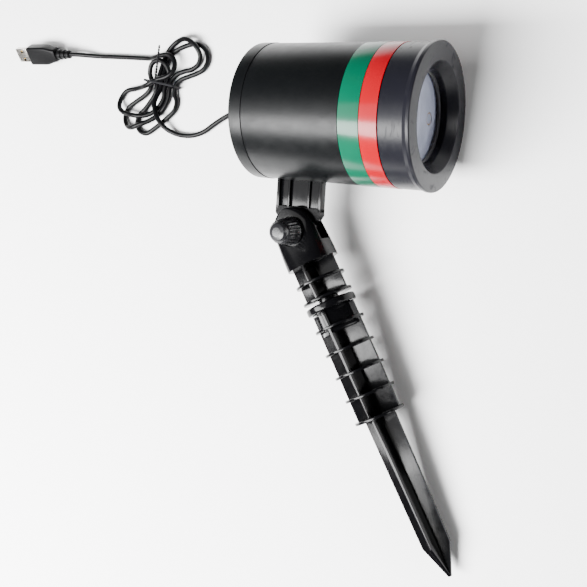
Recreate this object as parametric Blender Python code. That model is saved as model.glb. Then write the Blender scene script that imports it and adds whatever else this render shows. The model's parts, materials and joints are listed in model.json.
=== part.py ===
"""Light projector on a ground spike, laid down on its side with its USB lead beside it.

Frames used below, all in metres:
- the rest frame is the world, shifted so that the object stands over its own centre
- the head frame is tipped about the lamp's axis until the spike touches the ground:
  +Y runs from the lens to the rear cover, -X points to the stake, +Z is the hinge axis
- the stake frame has its origin on the hinge, +X runs down the stake to the tip
"""
import math

import bmesh
import bpy
from mathutils import Matrix, Vector

# ---- fits -------------------------------------------------------------------------
GAP = 0.0003                # clearance between pieces that touch
SEGMENTS = 40               # sides of the large round pieces
SMALL_SEGMENTS = 16         # sides of the small round pieces
TINY_SEGMENTS = 8           # sides of screws and their holes

# ---- lamp head: radius, and station along the axis from the lens end ------------------
BEZEL_RADIUS = 0.0450
CAP_RADIUS = 0.0440
HOUSING_RADIUS = 0.0439
BAND_SEAT_RADIUS = 0.0432
BAND_RADIUS = 0.0442
SPIGOT_RADIUS = 0.0422
HOUSING_BORE = 0.0416
FRONT_BORE = 0.0409
REAR_RADIUS = 0.0446
CAP_END = 0.0199
BAND_SPLIT = 0.0320
BAND_END = 0.0460
HOUSING_END = 0.1142
REAR_END = 0.1235
REAR_WALL = 0.0030

# ---- lens opening --------------------------------------------------------------------
OPENING_RADIUS = 0.0333
LENS_BORE = 0.0282
LENS_SEAT = 0.0313
CHAMFER_DEPTH = 0.0060
SEAT_DEPTH = 0.0103
APERTURE_OFFSET = 0.0180
MODULE_RADIUS = 0.0060
NOSE_RADIUS = 0.0039
HOLDER_RADIUS = 0.0405
HOLDER_SCREW_CIRCLE = 0.0382
LEDGE_RADIUS = 0.0355

# ---- rear fittings --------------------------------------------------------------------
REAR_SCREW_CIRCLE = 0.0362
BUTTON_OFFSET = 0.0200
BUTTON_RADIUS = 0.0045
BOARD_HALF = (0.0270, 0.0180)
BOARD_FRONT = 0.1058
BOARD_THICKNESS = 0.0018
STANDOFF = (0.0220, 0.0130)
GLAND_END = 0.1380

# ---- hinge and bracket ------------------------------------------------------------------
HINGE = Vector((-0.0768, 0.0923, 0.0))
STAKE_ANGLE = math.radians(31.5)
BRACKET_HALF = 0.0171
BRACKET_DEPTH = 0.0030
BRACKET_WEB = 0.0010
RIB_OFFSET = 0.0076
LUG_RADIUS = 0.0135
LUG_HALF = 0.0050
BOLT_RADIUS = 0.0024
BOLT_HOLE = 0.0028

# ---- stake: stations along it from the hinge ----------------------------------------------
HOOD_RADIUS = 0.0156
HOOD_END = 0.0245
CHEEK_FACE = 0.0098
SPOT_FACE = 0.0094
RING_RADIUS = 0.0171
RING_THICKNESS = 0.0018
UPPER_RINGS = (0.0367, 0.0486)
COLLAR = (0.0520, 0.0570)
LOWER_RINGS = (0.0684, 0.0848, 0.1008, 0.1169, 0.1326)
FIN_HALF = 0.0162
FIN_THICKNESS = 0.0022
SPIGOT = (0.0070, 0.0652)
TONGUE_END = 0.0728
TONGUE_INNER = 0.0124
TONGUE_OUTER = 0.0150
TONGUE_SIDE = 0.0016
BARB_OUTER = 0.0168
QUADRANTS = [(1, 1), (-1, 1), (-1, -1), (1, -1)]
SHOULDER = 0.2217
TIP = 0.2427
BLADE_TOP = 0.0115
BLADE_SHOULDER = 0.0102
TIP_HALF = 0.0016

# ---- lead -----------------------------------------------------------------------------------
CORD_RADIUS = 0.0019
CORD_POINTS = 90
PLUG_HEIGHT = 0.0084
PLUG_ROLL = math.radians(40)
PLUG_PLACE = (0.0476, 0.3480)

# ---- rest pose: the far fin's shoulder comes down to the ground ---------------------------------
REACH = -HINGE.x + SHOULDER * math.cos(STAKE_ANGLE) + FIN_THICKNESS / 2 * math.sin(STAKE_ANGLE)
TIP_OVER = math.asin(BEZEL_RADIUS / math.hypot(REACH, BLADE_SHOULDER)) - math.atan2(BLADE_SHOULDER, REACH)
CENTRE = Vector((-0.1185, 0.0512, 0.0))

AXES = {"X": Vector((1, 0, 0)), "Y": Vector((0, 1, 0)), "Z": Vector((0, 0, 1))}
RADIAL = {"X": Vector((0, 0, 1)), "Y": Vector((0, 0, 1)), "Z": Vector((1, 0, 0))}


# ---- materials ------------------------------------------------------------------------------
def material(name, colour, roughness, metallic=0.0):
    made = bpy.data.materials.new(name)
    made.use_nodes = True
    shader = made.node_tree.nodes["Principled BSDF"]
    shader.inputs["Base Color"].default_value = (*colour, 1.0)
    shader.inputs["Roughness"].default_value = roughness
    shader.inputs["Metallic"].default_value = metallic
    return made


# ---- building blocks ----------------------------------------------------------------------------
def finish(name, bm, parent, surface, place=Matrix.Identity(4)):
    """Close a bmesh and hang it on its frame as a named object."""
    bmesh.ops.remove_doubles(bm, verts=bm.verts, dist=1e-6)
    bmesh.ops.recalc_face_normals(bm, faces=bm.faces)
    mesh = bpy.data.meshes.new(name)
    bm.to_mesh(mesh)
    bm.free()
    mesh.shade_smooth()
    mesh.set_sharp_from_angle(angle=math.radians(35))
    mesh.materials.append(surface)
    piece = bpy.data.objects.new(name, mesh)
    bpy.context.collection.objects.link(piece)
    piece.parent = parent
    piece.matrix_local = place
    return piece


def as_tool(piece):
    """A guide for a Boolean, left out of the build."""
    piece.hide_render = True
    piece.display_type = "WIRE"
    return piece


def combine(piece, operation, tools):
    """Add or cut the tools with exact Boolean modifiers."""
    for tool in tools:
        boolean = piece.modifiers.new(tool.name, "BOOLEAN")
        boolean.operation = operation
        boolean.object = as_tool(tool)
    return piece


def spin_into(bm, profile, axis, centre=(0, 0, 0), steps=SEGMENTS):
    """Turn a profile of (radius, station) points about an axis through centre."""
    middle = Vector(centre)
    corners = [bm.verts.new(middle + r * RADIAL[axis] + s * AXES[axis]) for r, s in profile]
    edges = [bm.edges.new(pair) for pair in zip(corners, corners[1:])]
    if profile[0][0] > 0:
        edges.append(bm.edges.new((corners[-1], corners[0])))
    bmesh.ops.spin(bm, geom=corners + edges, cent=middle, axis=AXES[axis], dvec=(0, 0, 0),
                   angle=math.tau, steps=steps, use_merge=True, use_duplicate=False)


def turned(name, profile, axis, parent, surface, centre=(0, 0, 0), steps=SEGMENTS):
    bm = bmesh.new()
    spin_into(bm, profile, axis, centre, steps)
    return finish(name, bm, parent, surface)


def rod_profile(radius, start, end):
    return [(0, start), (radius, start), (radius, end), (0, end)]


def rods(name, places, profile, axis, parent, surface, steps=SMALL_SEGMENTS):
    """The same turned solid at each place, as one node of separate solids."""
    bm = bmesh.new()
    for place in places:
        spin_into(bm, profile, axis, place, steps)
    return finish(name, bm, parent, surface)


def copies(name, places, profile, axis, parent, surface, steps=SMALL_SEGMENTS):
    """One turned piece at each place, all sharing a mesh."""
    first = turned(name + "_1", profile, axis, parent, surface, steps=steps)
    first.location = places[0]
    for number, place in enumerate(places[1:], 2):
        piece = bpy.data.objects.new("%s_%d" % (name, number), first.data)
        bpy.context.collection.objects.link(piece)
        piece.parent = parent
        piece.location = place


def box_into(bm, low, high, turn=Matrix.Identity(4)):
    size = Vector(high) - Vector(low)
    middle = (Vector(high) + Vector(low)) / 2
    matrix = turn @ Matrix.Translation(middle) @ Matrix.Diagonal((*size, 1.0))
    return bmesh.ops.create_cube(bm, size=1.0, matrix=matrix)["verts"]


def box(name, low, high, parent, surface):
    bm = bmesh.new()
    box_into(bm, low, high)
    return finish(name, bm, parent, surface)


def prism(name, outline, direction, start, end, parent, surface):
    """Extrude an outline of points from start to end along one axis."""
    bm = bmesh.new()
    corners = [bm.verts.new(Vector(point) + start * AXES[direction]) for point in outline]
    face = bm.faces.new(corners)
    grown = bmesh.ops.extrude_face_region(bm, geom=[face])["geom"]
    moved = [item for item in grown if isinstance(item, bmesh.types.BMVert)]
    bmesh.ops.translate(bm, verts=moved, vec=(end - start) * AXES[direction])
    return finish(name, bm, parent, surface)


def loft(name, rings, parent, surface):
    """Bridge closed rings of equal point count and cap both ends."""
    bm = bmesh.new()
    loops = []
    for ring in rings:
        corners = [bm.verts.new(point) for point in ring]
        loops.append([bm.edges.new((a, b)) for a, b in zip(corners, corners[1:] + corners[:1])])
    for first, second in zip(loops, loops[1:]):
        bmesh.ops.bridge_loops(bm, edges=first + second)
    for loop in (loops[0], loops[-1]):
        bmesh.ops.contextual_create(bm, geom=loop)
    return finish(name, bm, parent, surface)


def frame_empty(name, parent, matrix):
    empty = bpy.data.objects.new(name, None)
    bpy.context.collection.objects.link(empty)
    empty.parent = parent
    empty.matrix_local = matrix
    return empty


def around(radius, degrees):
    """Points at the given angles on a circle round the lamp's axis."""
    return [(radius * math.cos(math.radians(a)), 0, radius * math.sin(math.radians(a))) for a in degrees]


# ---- lamp head ------------------------------------------------------------------------------------
def build_bezel(head, looks):
    back = CAP_END
    skirt = SPIGOT_RADIUS + GAP
    sleeve = LENS_SEAT + 0.0025
    profile = [
        (OPENING_RADIUS, 0.0), (BEZEL_RADIUS - 0.0007, 0.0), (BEZEL_RADIUS - 0.0002, 0.0003),
        (BEZEL_RADIUS, 0.0008), (BEZEL_RADIUS, 0.0018), (BEZEL_RADIUS - 0.0006, 0.0032),
        (CAP_RADIUS, 0.0048), (CAP_RADIUS, back), (skirt, back), (skirt, 0.0028),
        (sleeve + 0.0014, 0.0028),
        (sleeve, 0.0044), (sleeve, back), (LENS_SEAT, back), (LENS_SEAT, SEAT_DEPTH),
        (LENS_BORE, SEAT_DEPTH),
        (LENS_BORE, CHAMFER_DEPTH), (LENS_BORE + 0.0016, CHAMFER_DEPTH - 0.0026),
        (OPENING_RADIUS - 0.0009, 0.0005),
    ]
    turned("front_bezel", profile, "Y", head, looks["bezel"])


def build_bands(head, looks):
    inner = BAND_SEAT_RADIUS + GAP
    edges = {"red_band": (CAP_END + 0.0005, BAND_SPLIT - GAP / 2),
             "green_band": (BAND_SPLIT + GAP / 2, BAND_END - GAP)}
    for name, (start, end) in edges.items():
        profile = [(inner, start), (BAND_RADIUS, start), (BAND_RADIUS, end), (inner, end)]
        turned(name, profile, "Y", head, looks[name])


def build_housing(head, looks):
    front = CAP_END + GAP
    ledge = (LEDGE_RADIUS, 0.0383, 0.0450)
    profile = [
        (SPIGOT_RADIUS, 0.0080), (SPIGOT_RADIUS, front), (BAND_SEAT_RADIUS, front),
        (BAND_SEAT_RADIUS, BAND_END),
        (HOUSING_RADIUS, BAND_END), (HOUSING_RADIUS, HOUSING_END), (HOUSING_BORE, HOUSING_END),
        (HOUSING_BORE, ledge[2]), (ledge[0], ledge[2]), (ledge[0], ledge[1]), (FRONT_BORE, ledge[1]),
        (FRONT_BORE, 0.0080),
    ]
    shell = turned("housing", profile, "Y", head, looks["housing"])
    boss_places = around(REAR_SCREW_CIRCLE, (45, 135, 225, 315))
    bosses = rods("housing_bosses", boss_places, rod_profile(0.0060, 0.0900, 0.1108), "Y", head,
                  looks["housing"])
    pilots = rods("housing_pilots", boss_places, rod_profile(0.0012 + GAP, 0.0960, 0.1120), "Y", head,
                  looks["housing"])
    holder_places = around(HOLDER_SCREW_CIRCLE, (60, 180, 300))
    ledge_holes = rods("ledge_holes", holder_places, rod_profile(0.0012 + GAP, 0.0370, 0.0435), "Y", head,
                       looks["housing"], steps=TINY_SEGMENTS)
    slot = box("bracket_slot", (-0.0460, HINGE.y - BRACKET_HALF - GAP, -BRACKET_DEPTH - GAP),
               (-0.0380, HINGE.y + BRACKET_HALF + GAP, BRACKET_DEPTH + GAP), head, looks["housing"])
    screw_holes = rods("bracket_pilots", bracket_screw_places(),
                       rod_profile(0.0010 + GAP, -0.0428, -0.0390), "X",
                       head, looks["housing"], steps=TINY_SEGMENTS)
    combine(shell, "UNION", [bosses])
    combine(shell, "DIFFERENCE", [pilots, ledge_holes, slot, screw_holes])


def build_lens_stack(head, looks):
    rim = LENS_SEAT - GAP
    gasket = [(0.0275, 0.0106), (rim, 0.0106), (rim, 0.0127), (0.0275, 0.0127)]
    turned("lens_gasket", gasket, "Y", head, looks["gasket"])
    turned("window_glass", rod_profile(rim, 0.0130, 0.0145), "Y", head, looks["glass"])
    plate = turned("aperture_plate", rod_profile(rim, 0.0148, 0.0168), "Y", head, looks["plate"])
    places = [(0, 0, APERTURE_OFFSET), (0, 0, -APERTURE_OFFSET)]
    holes = rods("aperture_holes", places, rod_profile(NOSE_RADIUS + GAP, 0.0140, 0.0180), "Y", head,
                 looks["plate"])
    combine(plate, "DIFFERENCE", [holes])
    retainer = [(0.0274, 0.0171), (rim, 0.0171), (rim, 0.0196), (0.0274, 0.0196)]
    turned("lens_retainer", retainer, "Y", head, looks["plastic"])


def build_lasers(head, looks):
    profile = [(0, 0.0152), (NOSE_RADIUS, 0.0152), (NOSE_RADIUS, 0.0205), (MODULE_RADIUS, 0.0205),
               (MODULE_RADIUS, 0.0480), (0.0048, 0.0480), (0.0048, 0.0500), (0, 0.0500)]
    for name, side in (("green_laser_module", 1), ("red_laser_module", -1)):
        turned(name, profile, "Y", head, looks["brass"], (0, 0, side * APERTURE_OFFSET), SMALL_SEGMENTS)
    holder = turned("laser_holder", rod_profile(HOLDER_RADIUS, 0.0300, 0.0380), "Y", head,
                    looks["aluminium"])
    bores = [(0, 0, APERTURE_OFFSET), (0, 0, -APERTURE_OFFSET)]
    bore_tool = rods("holder_bores", bores, rod_profile(MODULE_RADIUS + GAP, 0.0290, 0.0390), "Y", head,
                     looks["aluminium"])
    screw_places = around(HOLDER_SCREW_CIRCLE, (60, 180, 300))
    screw_tool = rods("holder_screw_holes", screw_places, rod_profile(0.0012 + GAP, 0.0290, 0.0390), "Y",
                      head, looks["aluminium"], TINY_SEGMENTS)
    wire_tool = rods("holder_wire_hole", [(0.0200, 0, 0), (-0.0200, 0, 0)],
                     rod_profile(0.0060, 0.0290, 0.0390), "Y", head, looks["aluminium"])
    combine(holder, "DIFFERENCE", [bore_tool, screw_tool, wire_tool])
    head_shape = [(0, 0.0283), (0.0017, 0.0283), (0.0017, 0.0297), (0.0012, 0.0297), (0.0012, 0.0425),
                  (0, 0.0425)]
    copies("holder_screw", screw_places, head_shape, "Y", head, looks["steel"], TINY_SEGMENTS)


def build_electronics(head, looks):
    back = BOARD_FRONT + BOARD_THICKNESS
    half_x, half_z = BOARD_HALF
    board = box("circuit_board", (-half_x, BOARD_FRONT, -half_z), (half_x, back, half_z), head,
                looks["board"])
    posts = [(x, 0, z) for x in (-STANDOFF[0], STANDOFF[0]) for z in (-STANDOFF[1], STANDOFF[1])]
    holes = rods("board_holes", posts, rod_profile(0.0008 + GAP, 0.1040, 0.1090), "Y", head,
                 looks["board"], TINY_SEGMENTS)
    combine(board, "DIFFERENCE", [holes])
    screw = [(0, 0.1042), (0.0018, 0.1042), (0.0018, 0.1055), (0.0008, 0.1055), (0.0008, 0.1150),
             (0, 0.1150)]
    copies("board_screw", posts, screw, "Y", head, looks["steel"], TINY_SEGMENTS)
    bm = bmesh.new()
    box_into(bm, (BUTTON_OFFSET - 0.0050, back + GAP, -0.0050), (BUTTON_OFFSET + 0.0050, 0.1140, 0.0050))
    body = finish("switch_body", bm, head, looks["plastic"])
    plunger = rods("switch_plunger", [(BUTTON_OFFSET, 0, 0)], rod_profile(0.0018, 0.1120, 0.1162), "Y",
                   head, looks["plastic"])
    combine(body, "UNION", [plunger])
    turned("board_capacitor", rod_profile(0.0040, 0.0930, BOARD_FRONT - GAP), "Y", head, looks["steel"],
           (-0.0120, 0, 0), SMALL_SEGMENTS)


def build_rear(head, looks):
    inner = REAR_END - REAR_WALL
    front = HOUSING_END + GAP
    lip = HOUSING_BORE - GAP
    profile = [
        (REAR_RADIUS, front), (REAR_RADIUS, REAR_END - 0.0010), (REAR_RADIUS - 0.0003, REAR_END - 0.0003),
        (REAR_RADIUS - 0.0010, REAR_END), (0.0044, REAR_END), (0.0044, inner), (lip - 0.0015, inner),
        (lip - 0.0015, 0.1115), (lip, 0.1115), (lip, front),
    ]
    cover = turned("rear_cover", profile, "Y", head, looks["rear"])
    screw_places = around(REAR_SCREW_CIRCLE, (45, 135, 225, 315))
    posts = [(x, 0, z) for x in (-STANDOFF[0], STANDOFF[0]) for z in (-STANDOFF[1], STANDOFF[1])]
    sleeves = rods("cover_sleeves", screw_places, rod_profile(0.0034, 0.1112, inner + 0.0010), "Y", head,
                   looks["rear"])
    standoffs = rods("cover_standoffs", posts, rod_profile(0.0026, 0.1079, inner + 0.0010), "Y", head,
                     looks["rear"], TINY_SEGMENTS)
    combine(cover, "UNION", [sleeves, standoffs])
    sinks = rods("cover_sinks", screw_places, rod_profile(0.0032, 0.1219, 0.1250), "Y", head,
                 looks["rear"])
    drills = rods("cover_drills", screw_places, rod_profile(0.0016, 0.1100, 0.1230), "Y", head,
                  looks["rear"], TINY_SEGMENTS)
    taps = rods("cover_taps", posts, rod_profile(0.0008 + GAP, 0.1070, 0.1161), "Y", head, looks["rear"],
                TINY_SEGMENTS)
    opening = rods("button_hole", [(BUTTON_OFFSET, 0, 0)],
                   rod_profile(BUTTON_RADIUS + 0.0004, 0.1190, 0.1250), "Y", head, looks["rear"])
    combine(cover, "DIFFERENCE", [opening, sinks, drills, taps])
    screw = [(0, 0.1000), (0.0012, 0.1000), (0.0012, 0.1222), (0.0029, 0.1222), (0.0029, 0.1231),
             (0.0023, 0.1235), (0, 0.1235)]
    copies("rear_screw", screw_places, screw, "Y", head, looks["steel"])
    cap = [(0, 0.1180), (BUTTON_RADIUS, 0.1180), (BUTTON_RADIUS, 0.1187), (0.0062, 0.1187),
           (0.0062, 0.1200),
           (BUTTON_RADIUS, 0.1200), (BUTTON_RADIUS, 0.1249), (0.0037, 0.1256), (0, 0.1258)]
    turned("push_button", cap, "Y", head, looks["button"], (BUTTON_OFFSET, 0, 0), 20)
    bore = CORD_RADIUS + GAP
    boot = [(bore, 0.1186), (0.0065, 0.1186), (0.0065, 0.1202), (0.0041, 0.1202),
            (0.0041, REAR_END + GAP),
            (0.0062, REAR_END + GAP), (0.0060, 0.1256), (0.0046, 0.1276), (0.0042, 0.1320),
            (0.0036, GLAND_END),
            (bore, GLAND_END)]
    turned("cord_gland", boot, "Y", head, looks["rubber"], steps=20)


# ---- bracket between the head and the stake ---------------------------------------------------------
def bracket_screw_places():
    return [(0, HINGE.y + y, z) for y in (-0.0120, 0.0120) for z in (-0.0055, 0.0055)]


def comb_outline():
    """Cross-section of the ribbed plate: two flanges and two ribs on a thin web."""
    teeth = [(-BRACKET_HALF, -BRACKET_HALF + 0.0022), (-RIB_OFFSET - 0.0008, -RIB_OFFSET + 0.0008),
             (RIB_OFFSET - 0.0008, RIB_OFFSET + 0.0008), (BRACKET_HALF - 0.0022, BRACKET_HALF)]
    upper = []
    for left, right in teeth:
        upper += [(left, BRACKET_WEB), (left, BRACKET_DEPTH), (right, BRACKET_DEPTH),
                  (right, BRACKET_WEB)]
    upper = upper[1:-1]
    lower = [(y, -z) for y, z in reversed(upper)]
    return [(0, HINGE.y + y, z) for y, z in upper + lower]


def build_bracket(head, looks):
    plate = prism("bracket", comb_outline(), "X", -0.0620, -0.0390, head, looks["stake"])
    shoulder = HINGE.x + 0.0108
    flare = 0.0095
    outline = [(-0.0590, HINGE.y - BRACKET_HALF, 0), (shoulder, HINGE.y - BRACKET_HALF, 0),
               (HINGE.x, HINGE.y - flare, 0), (HINGE.x, HINGE.y + flare, 0),
               (shoulder, HINGE.y + BRACKET_HALF, 0), (-0.0590, HINGE.y + BRACKET_HALF, 0)]
    web = prism("bracket_web", outline, "Z", -BRACKET_DEPTH, BRACKET_DEPTH, head, looks["stake"])
    lug = turned("bracket_lug", rod_profile(LUG_RADIUS, -LUG_HALF, LUG_HALF), "Z", head, looks["stake"],
                 HINGE)
    foot = box("bracket_foot", (-0.0406, HINGE.y - BRACKET_HALF - 0.0016, -0.0075),
               (-0.0376, HINGE.y + BRACKET_HALF + 0.0016, 0.0075), head, looks["stake"])
    combine(plate, "UNION", [web, lug, foot])
    bolt_hole = rods("lug_hole", [HINGE], rod_profile(BOLT_HOLE, -0.0100, 0.0100), "Z", head,
                     looks["stake"], 24)
    drills = rods("foot_holes", bracket_screw_places(), rod_profile(0.0010 + GAP, -0.0420, -0.0360), "X",
                  head, looks["stake"], TINY_SEGMENTS)
    combine(plate, "DIFFERENCE", [bolt_hole, drills])
    screw = [(0, -0.0424), (0.0010, -0.0424), (0.0010, -0.0373), (0.0020, -0.0373), (0.0020, -0.0360),
             (0, -0.0360)]
    copies("bracket_screw", bracket_screw_places(), screw, "X", head, looks["steel"], TINY_SEGMENTS)


# ---- stake --------------------------------------------------------------------------------------------
def superellipse(half_u, half_z, power, count=32):
    ring = []
    for index in range(count):
        angle = math.tau * index / count
        c, s = math.cos(angle), math.sin(angle)
        ring.append((math.copysign(abs(c) ** (2 / power), c) * half_u,
                     math.copysign(abs(s) ** (2 / power), s) * half_z))
    return ring


def hood_rings():
    """Flat rounded cheeks at the hinge that swell to a nearly round skirt."""
    stations = [-HOOD_RADIUS * math.cos(math.radians(a)) for a in range(4, 90, 17)]
    stations += [0.006, 0.015, HOOD_END]
    rings = []
    for s in stations:
        down = max(s, 0.0) / HOOD_END
        half_u = math.sqrt(max(HOOD_RADIUS ** 2 - min(s, 0.0) ** 2, 0.0)) + 0.0012 * down
        half_z = CHEEK_FACE + (0.0158 - CHEEK_FACE) * down ** 1.3
        power = 5.0 - 2.4 * down
        rings.append([Vector((s, u, z)) for u, z in superellipse(half_u, half_z, power)])
    return rings


def cross_ring(station, half_u, half_z, thickness):
    h, k, t = half_u, half_z, thickness / 2
    plus = [(h, -t), (h, t), (t, t), (t, k), (-t, k), (-t, t), (-h, t), (-h, -t), (-t, -t), (-t, -k),
            (t, -k), (t, -t)]
    return [Vector((station, u, z)) for u, z in plus]


def ring_profile(station, radius=RING_RADIUS):
    half = RING_THICKNESS / 2
    return rod_profile(radius, station - half, station + half)


def build_upper(stake, looks):
    hood = loft("stake_head", hood_rings(), stake, looks["stake"])
    fins = loft("upper_fins", [cross_ring(s, FIN_HALF, 0.0150, FIN_THICKNESS) for s in (0.0238, 0.0490)],
                stake, looks["stake"])
    rings = [turned("upper_ring_%d" % n, ring_profile(s), "X", stake, looks["stake"], steps=32)
             for n, s in enumerate(UPPER_RINGS)]
    spigot = turned("upper_spigot", rod_profile(SPIGOT[0], 0.0482, SPIGOT[1]), "X", stake, looks["stake"],
                    steps=24)
    combine(hood, "UNION", [fins, *rings, spigot])
    slot = box("hood_slot", (-0.0200, -0.0250, -LUG_HALF - GAP),
               (LUG_RADIUS + 0.0010, 0.0250, LUG_HALF + GAP), stake, looks["stake"])
    bore = rods("hood_bore", [(0, 0, 0)], rod_profile(BOLT_HOLE, -0.0200, 0.0200), "Z", stake,
                looks["stake"], 24)
    spot = rods("hood_spot_face", [(0, 0, 0)], rod_profile(0.0104, SPOT_FACE, 0.0200), "Z", stake,
                looks["stake"], 24)
    pocket = rods("nut_pocket", [(0, 0, 0)], rod_profile(0.0050, -0.0120, -0.0067), "Z", stake,
                  looks["stake"], 6)
    combine(hood, "DIFFERENCE", [slot, bore, spot, pocket])


def tongue_outline(inner, outer, side_gap):
    """A strip across one quadrant between two fins, between two diagonal lines."""
    return [(side_gap, inner - side_gap), (inner - side_gap, side_gap),
            (outer - side_gap, side_gap), (side_gap, outer - side_gap)]


def quadrant_prism(name, inner, outer, side_gap, start, end, stake, looks, quadrants):
    bm = bmesh.new()
    for u_sign, z_sign in quadrants:
        outline = tongue_outline(inner, outer, side_gap)
        corners = [bm.verts.new((start, u * u_sign, z * z_sign)) for u, z in outline]
        face = bm.faces.new(corners)
        grown = bmesh.ops.extrude_face_region(bm, geom=[face])["geom"]
        moved = [item for item in grown if isinstance(item, bmesh.types.BMVert)]
        bmesh.ops.translate(bm, verts=moved, vec=(end - start, 0, 0))
    return finish(name, bm, stake, looks["stake"])


def build_collar(stake, looks):
    start, end = COLLAR
    bore = SPIGOT[0] + GAP
    profile = [(bore, start), (RING_RADIUS - 0.0014, start), (RING_RADIUS - 0.0004, start + 0.0004),
               (RING_RADIUS, start + 0.0014), (RING_RADIUS, end - 0.0014),
               (RING_RADIUS - 0.0004, end - 0.0004),
               (RING_RADIUS - 0.0014, end), (bore, end)]
    collar = turned("latch_collar", profile, "X", stake, looks["stake"], steps=32)
    tongues = quadrant_prism("tongue_strips", TONGUE_INNER, TONGUE_OUTER, TONGUE_SIDE, end - 0.0010,
                             TONGUE_END, stake, looks, QUADRANTS)
    barbs = quadrant_prism("tongue_barbs", TONGUE_OUTER - 0.0012, BARB_OUTER, TONGUE_SIDE, 0.0696,
                           TONGUE_END - 0.0002, stake, looks, QUADRANTS)
    combine(collar, "UNION", [tongues, barbs])


def build_lower(stake, looks):
    top = COLLAR[1] + GAP
    flange = LOWER_RINGS[-1]
    fins = loft("stake_spike", [cross_ring(s, FIN_HALF, 0.0155, FIN_THICKNESS) for s in (top, flange)],
                stake, looks["stake"])
    rings = [turned("lower_ring_%d" % n, ring_profile(s), "X", stake, looks["stake"], steps=32)
             for n, s in enumerate(LOWER_RINGS)]
    hub = turned("lower_hub", [(0, top), (0.0084, top), (0.0084, LOWER_RINGS[0]), (0, LOWER_RINGS[0])],
                 "X", stake, looks["stake"], steps=24)
    blade_stations = [(flange - 0.0004, BLADE_TOP), (SHOULDER, BLADE_SHOULDER), (TIP - 0.0016, TIP_HALF),
                      (TIP, TIP_HALF - 0.0004)]
    blade_rings = [cross_ring(s, h, h, min(FIN_THICKNESS, 1.3 * h)) for s, h in blade_stations]
    blade = loft("spike_blade", blade_rings, stake, looks["stake"])
    combine(fins, "UNION", [*rings, hub, blade])
    socket = rods("lower_socket", [(0, 0, 0)], rod_profile(SPIGOT[0] + GAP, 0.0560, SPIGOT[1] + 0.0008),
                  "X", stake, looks["stake"], 36)
    ways = quadrant_prism("latch_ways", TONGUE_INNER - 0.0005, BARB_OUTER + 0.0005, TONGUE_SIDE - 0.0004,
                          LOWER_RINGS[0] - 0.0020, LOWER_RINGS[0] + 0.0020, stake, looks, QUADRANTS)
    combine(fins, "DIFFERENCE", [socket, ways])


def build_thumbscrew(stake, looks):
    turned("clamp_washer", [(BOLT_HOLE, 0.0097), (0.0082, 0.0097), (0.0082, 0.0109), (BOLT_HOLE, 0.0109)],
           "Z", stake, looks["steel"], steps=24)
    flutes = 20
    sides = flutes * 2
    rings = []
    for z, radius, depth in ((0.0112, 0.0092, 0.0), (0.0124, 0.0092, 0.0), (0.0128, 0.0089, 0.0006),
                             (0.0236, 0.0078, 0.0006), (0.0240, 0.0068, 0.0)):
        ring = []
        for index in range(sides):
            reach = radius - depth * (index % 2)
            angle = math.tau * index / sides
            ring.append(Vector((reach * math.cos(angle), reach * math.sin(angle), z)))
        rings.append(ring)
    for z, radius in ((0.0262, 0.0066), (0.0274, 0.0054), (0.0281, 0.0030)):
        angles = [math.tau * index / sides for index in range(sides)]
        rings.append([Vector((radius * math.cos(a), radius * math.sin(a), z)) for a in angles])
    knob = loft("thumb_knob", rings, stake, looks["knob"])
    socket = rods("knob_socket", [(0, 0, 0)], rod_profile(BOLT_RADIUS + GAP, 0.0100, 0.0205), "Z", stake,
                  looks["knob"])
    combine(knob, "DIFFERENCE", [socket])
    turned("clamp_bolt", [(0, -0.0112), (BOLT_RADIUS - 0.0006, -0.0112), (BOLT_RADIUS, -0.0106),
                          (BOLT_RADIUS, 0.0202), (0, 0.0202)], "Z", stake, looks["steel"], steps=24)
    nut = turned("hex_nut", rod_profile(0.0046, -0.0096, -0.0070), "Z", stake, looks["steel"], steps=6)
    thread = rods("nut_thread", [(0, 0, 0)], rod_profile(BOLT_HOLE - 0.0001, -0.0110, -0.0060), "Z",
                  stake, looks["steel"], 24)
    combine(nut, "DIFFERENCE", [thread])


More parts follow.
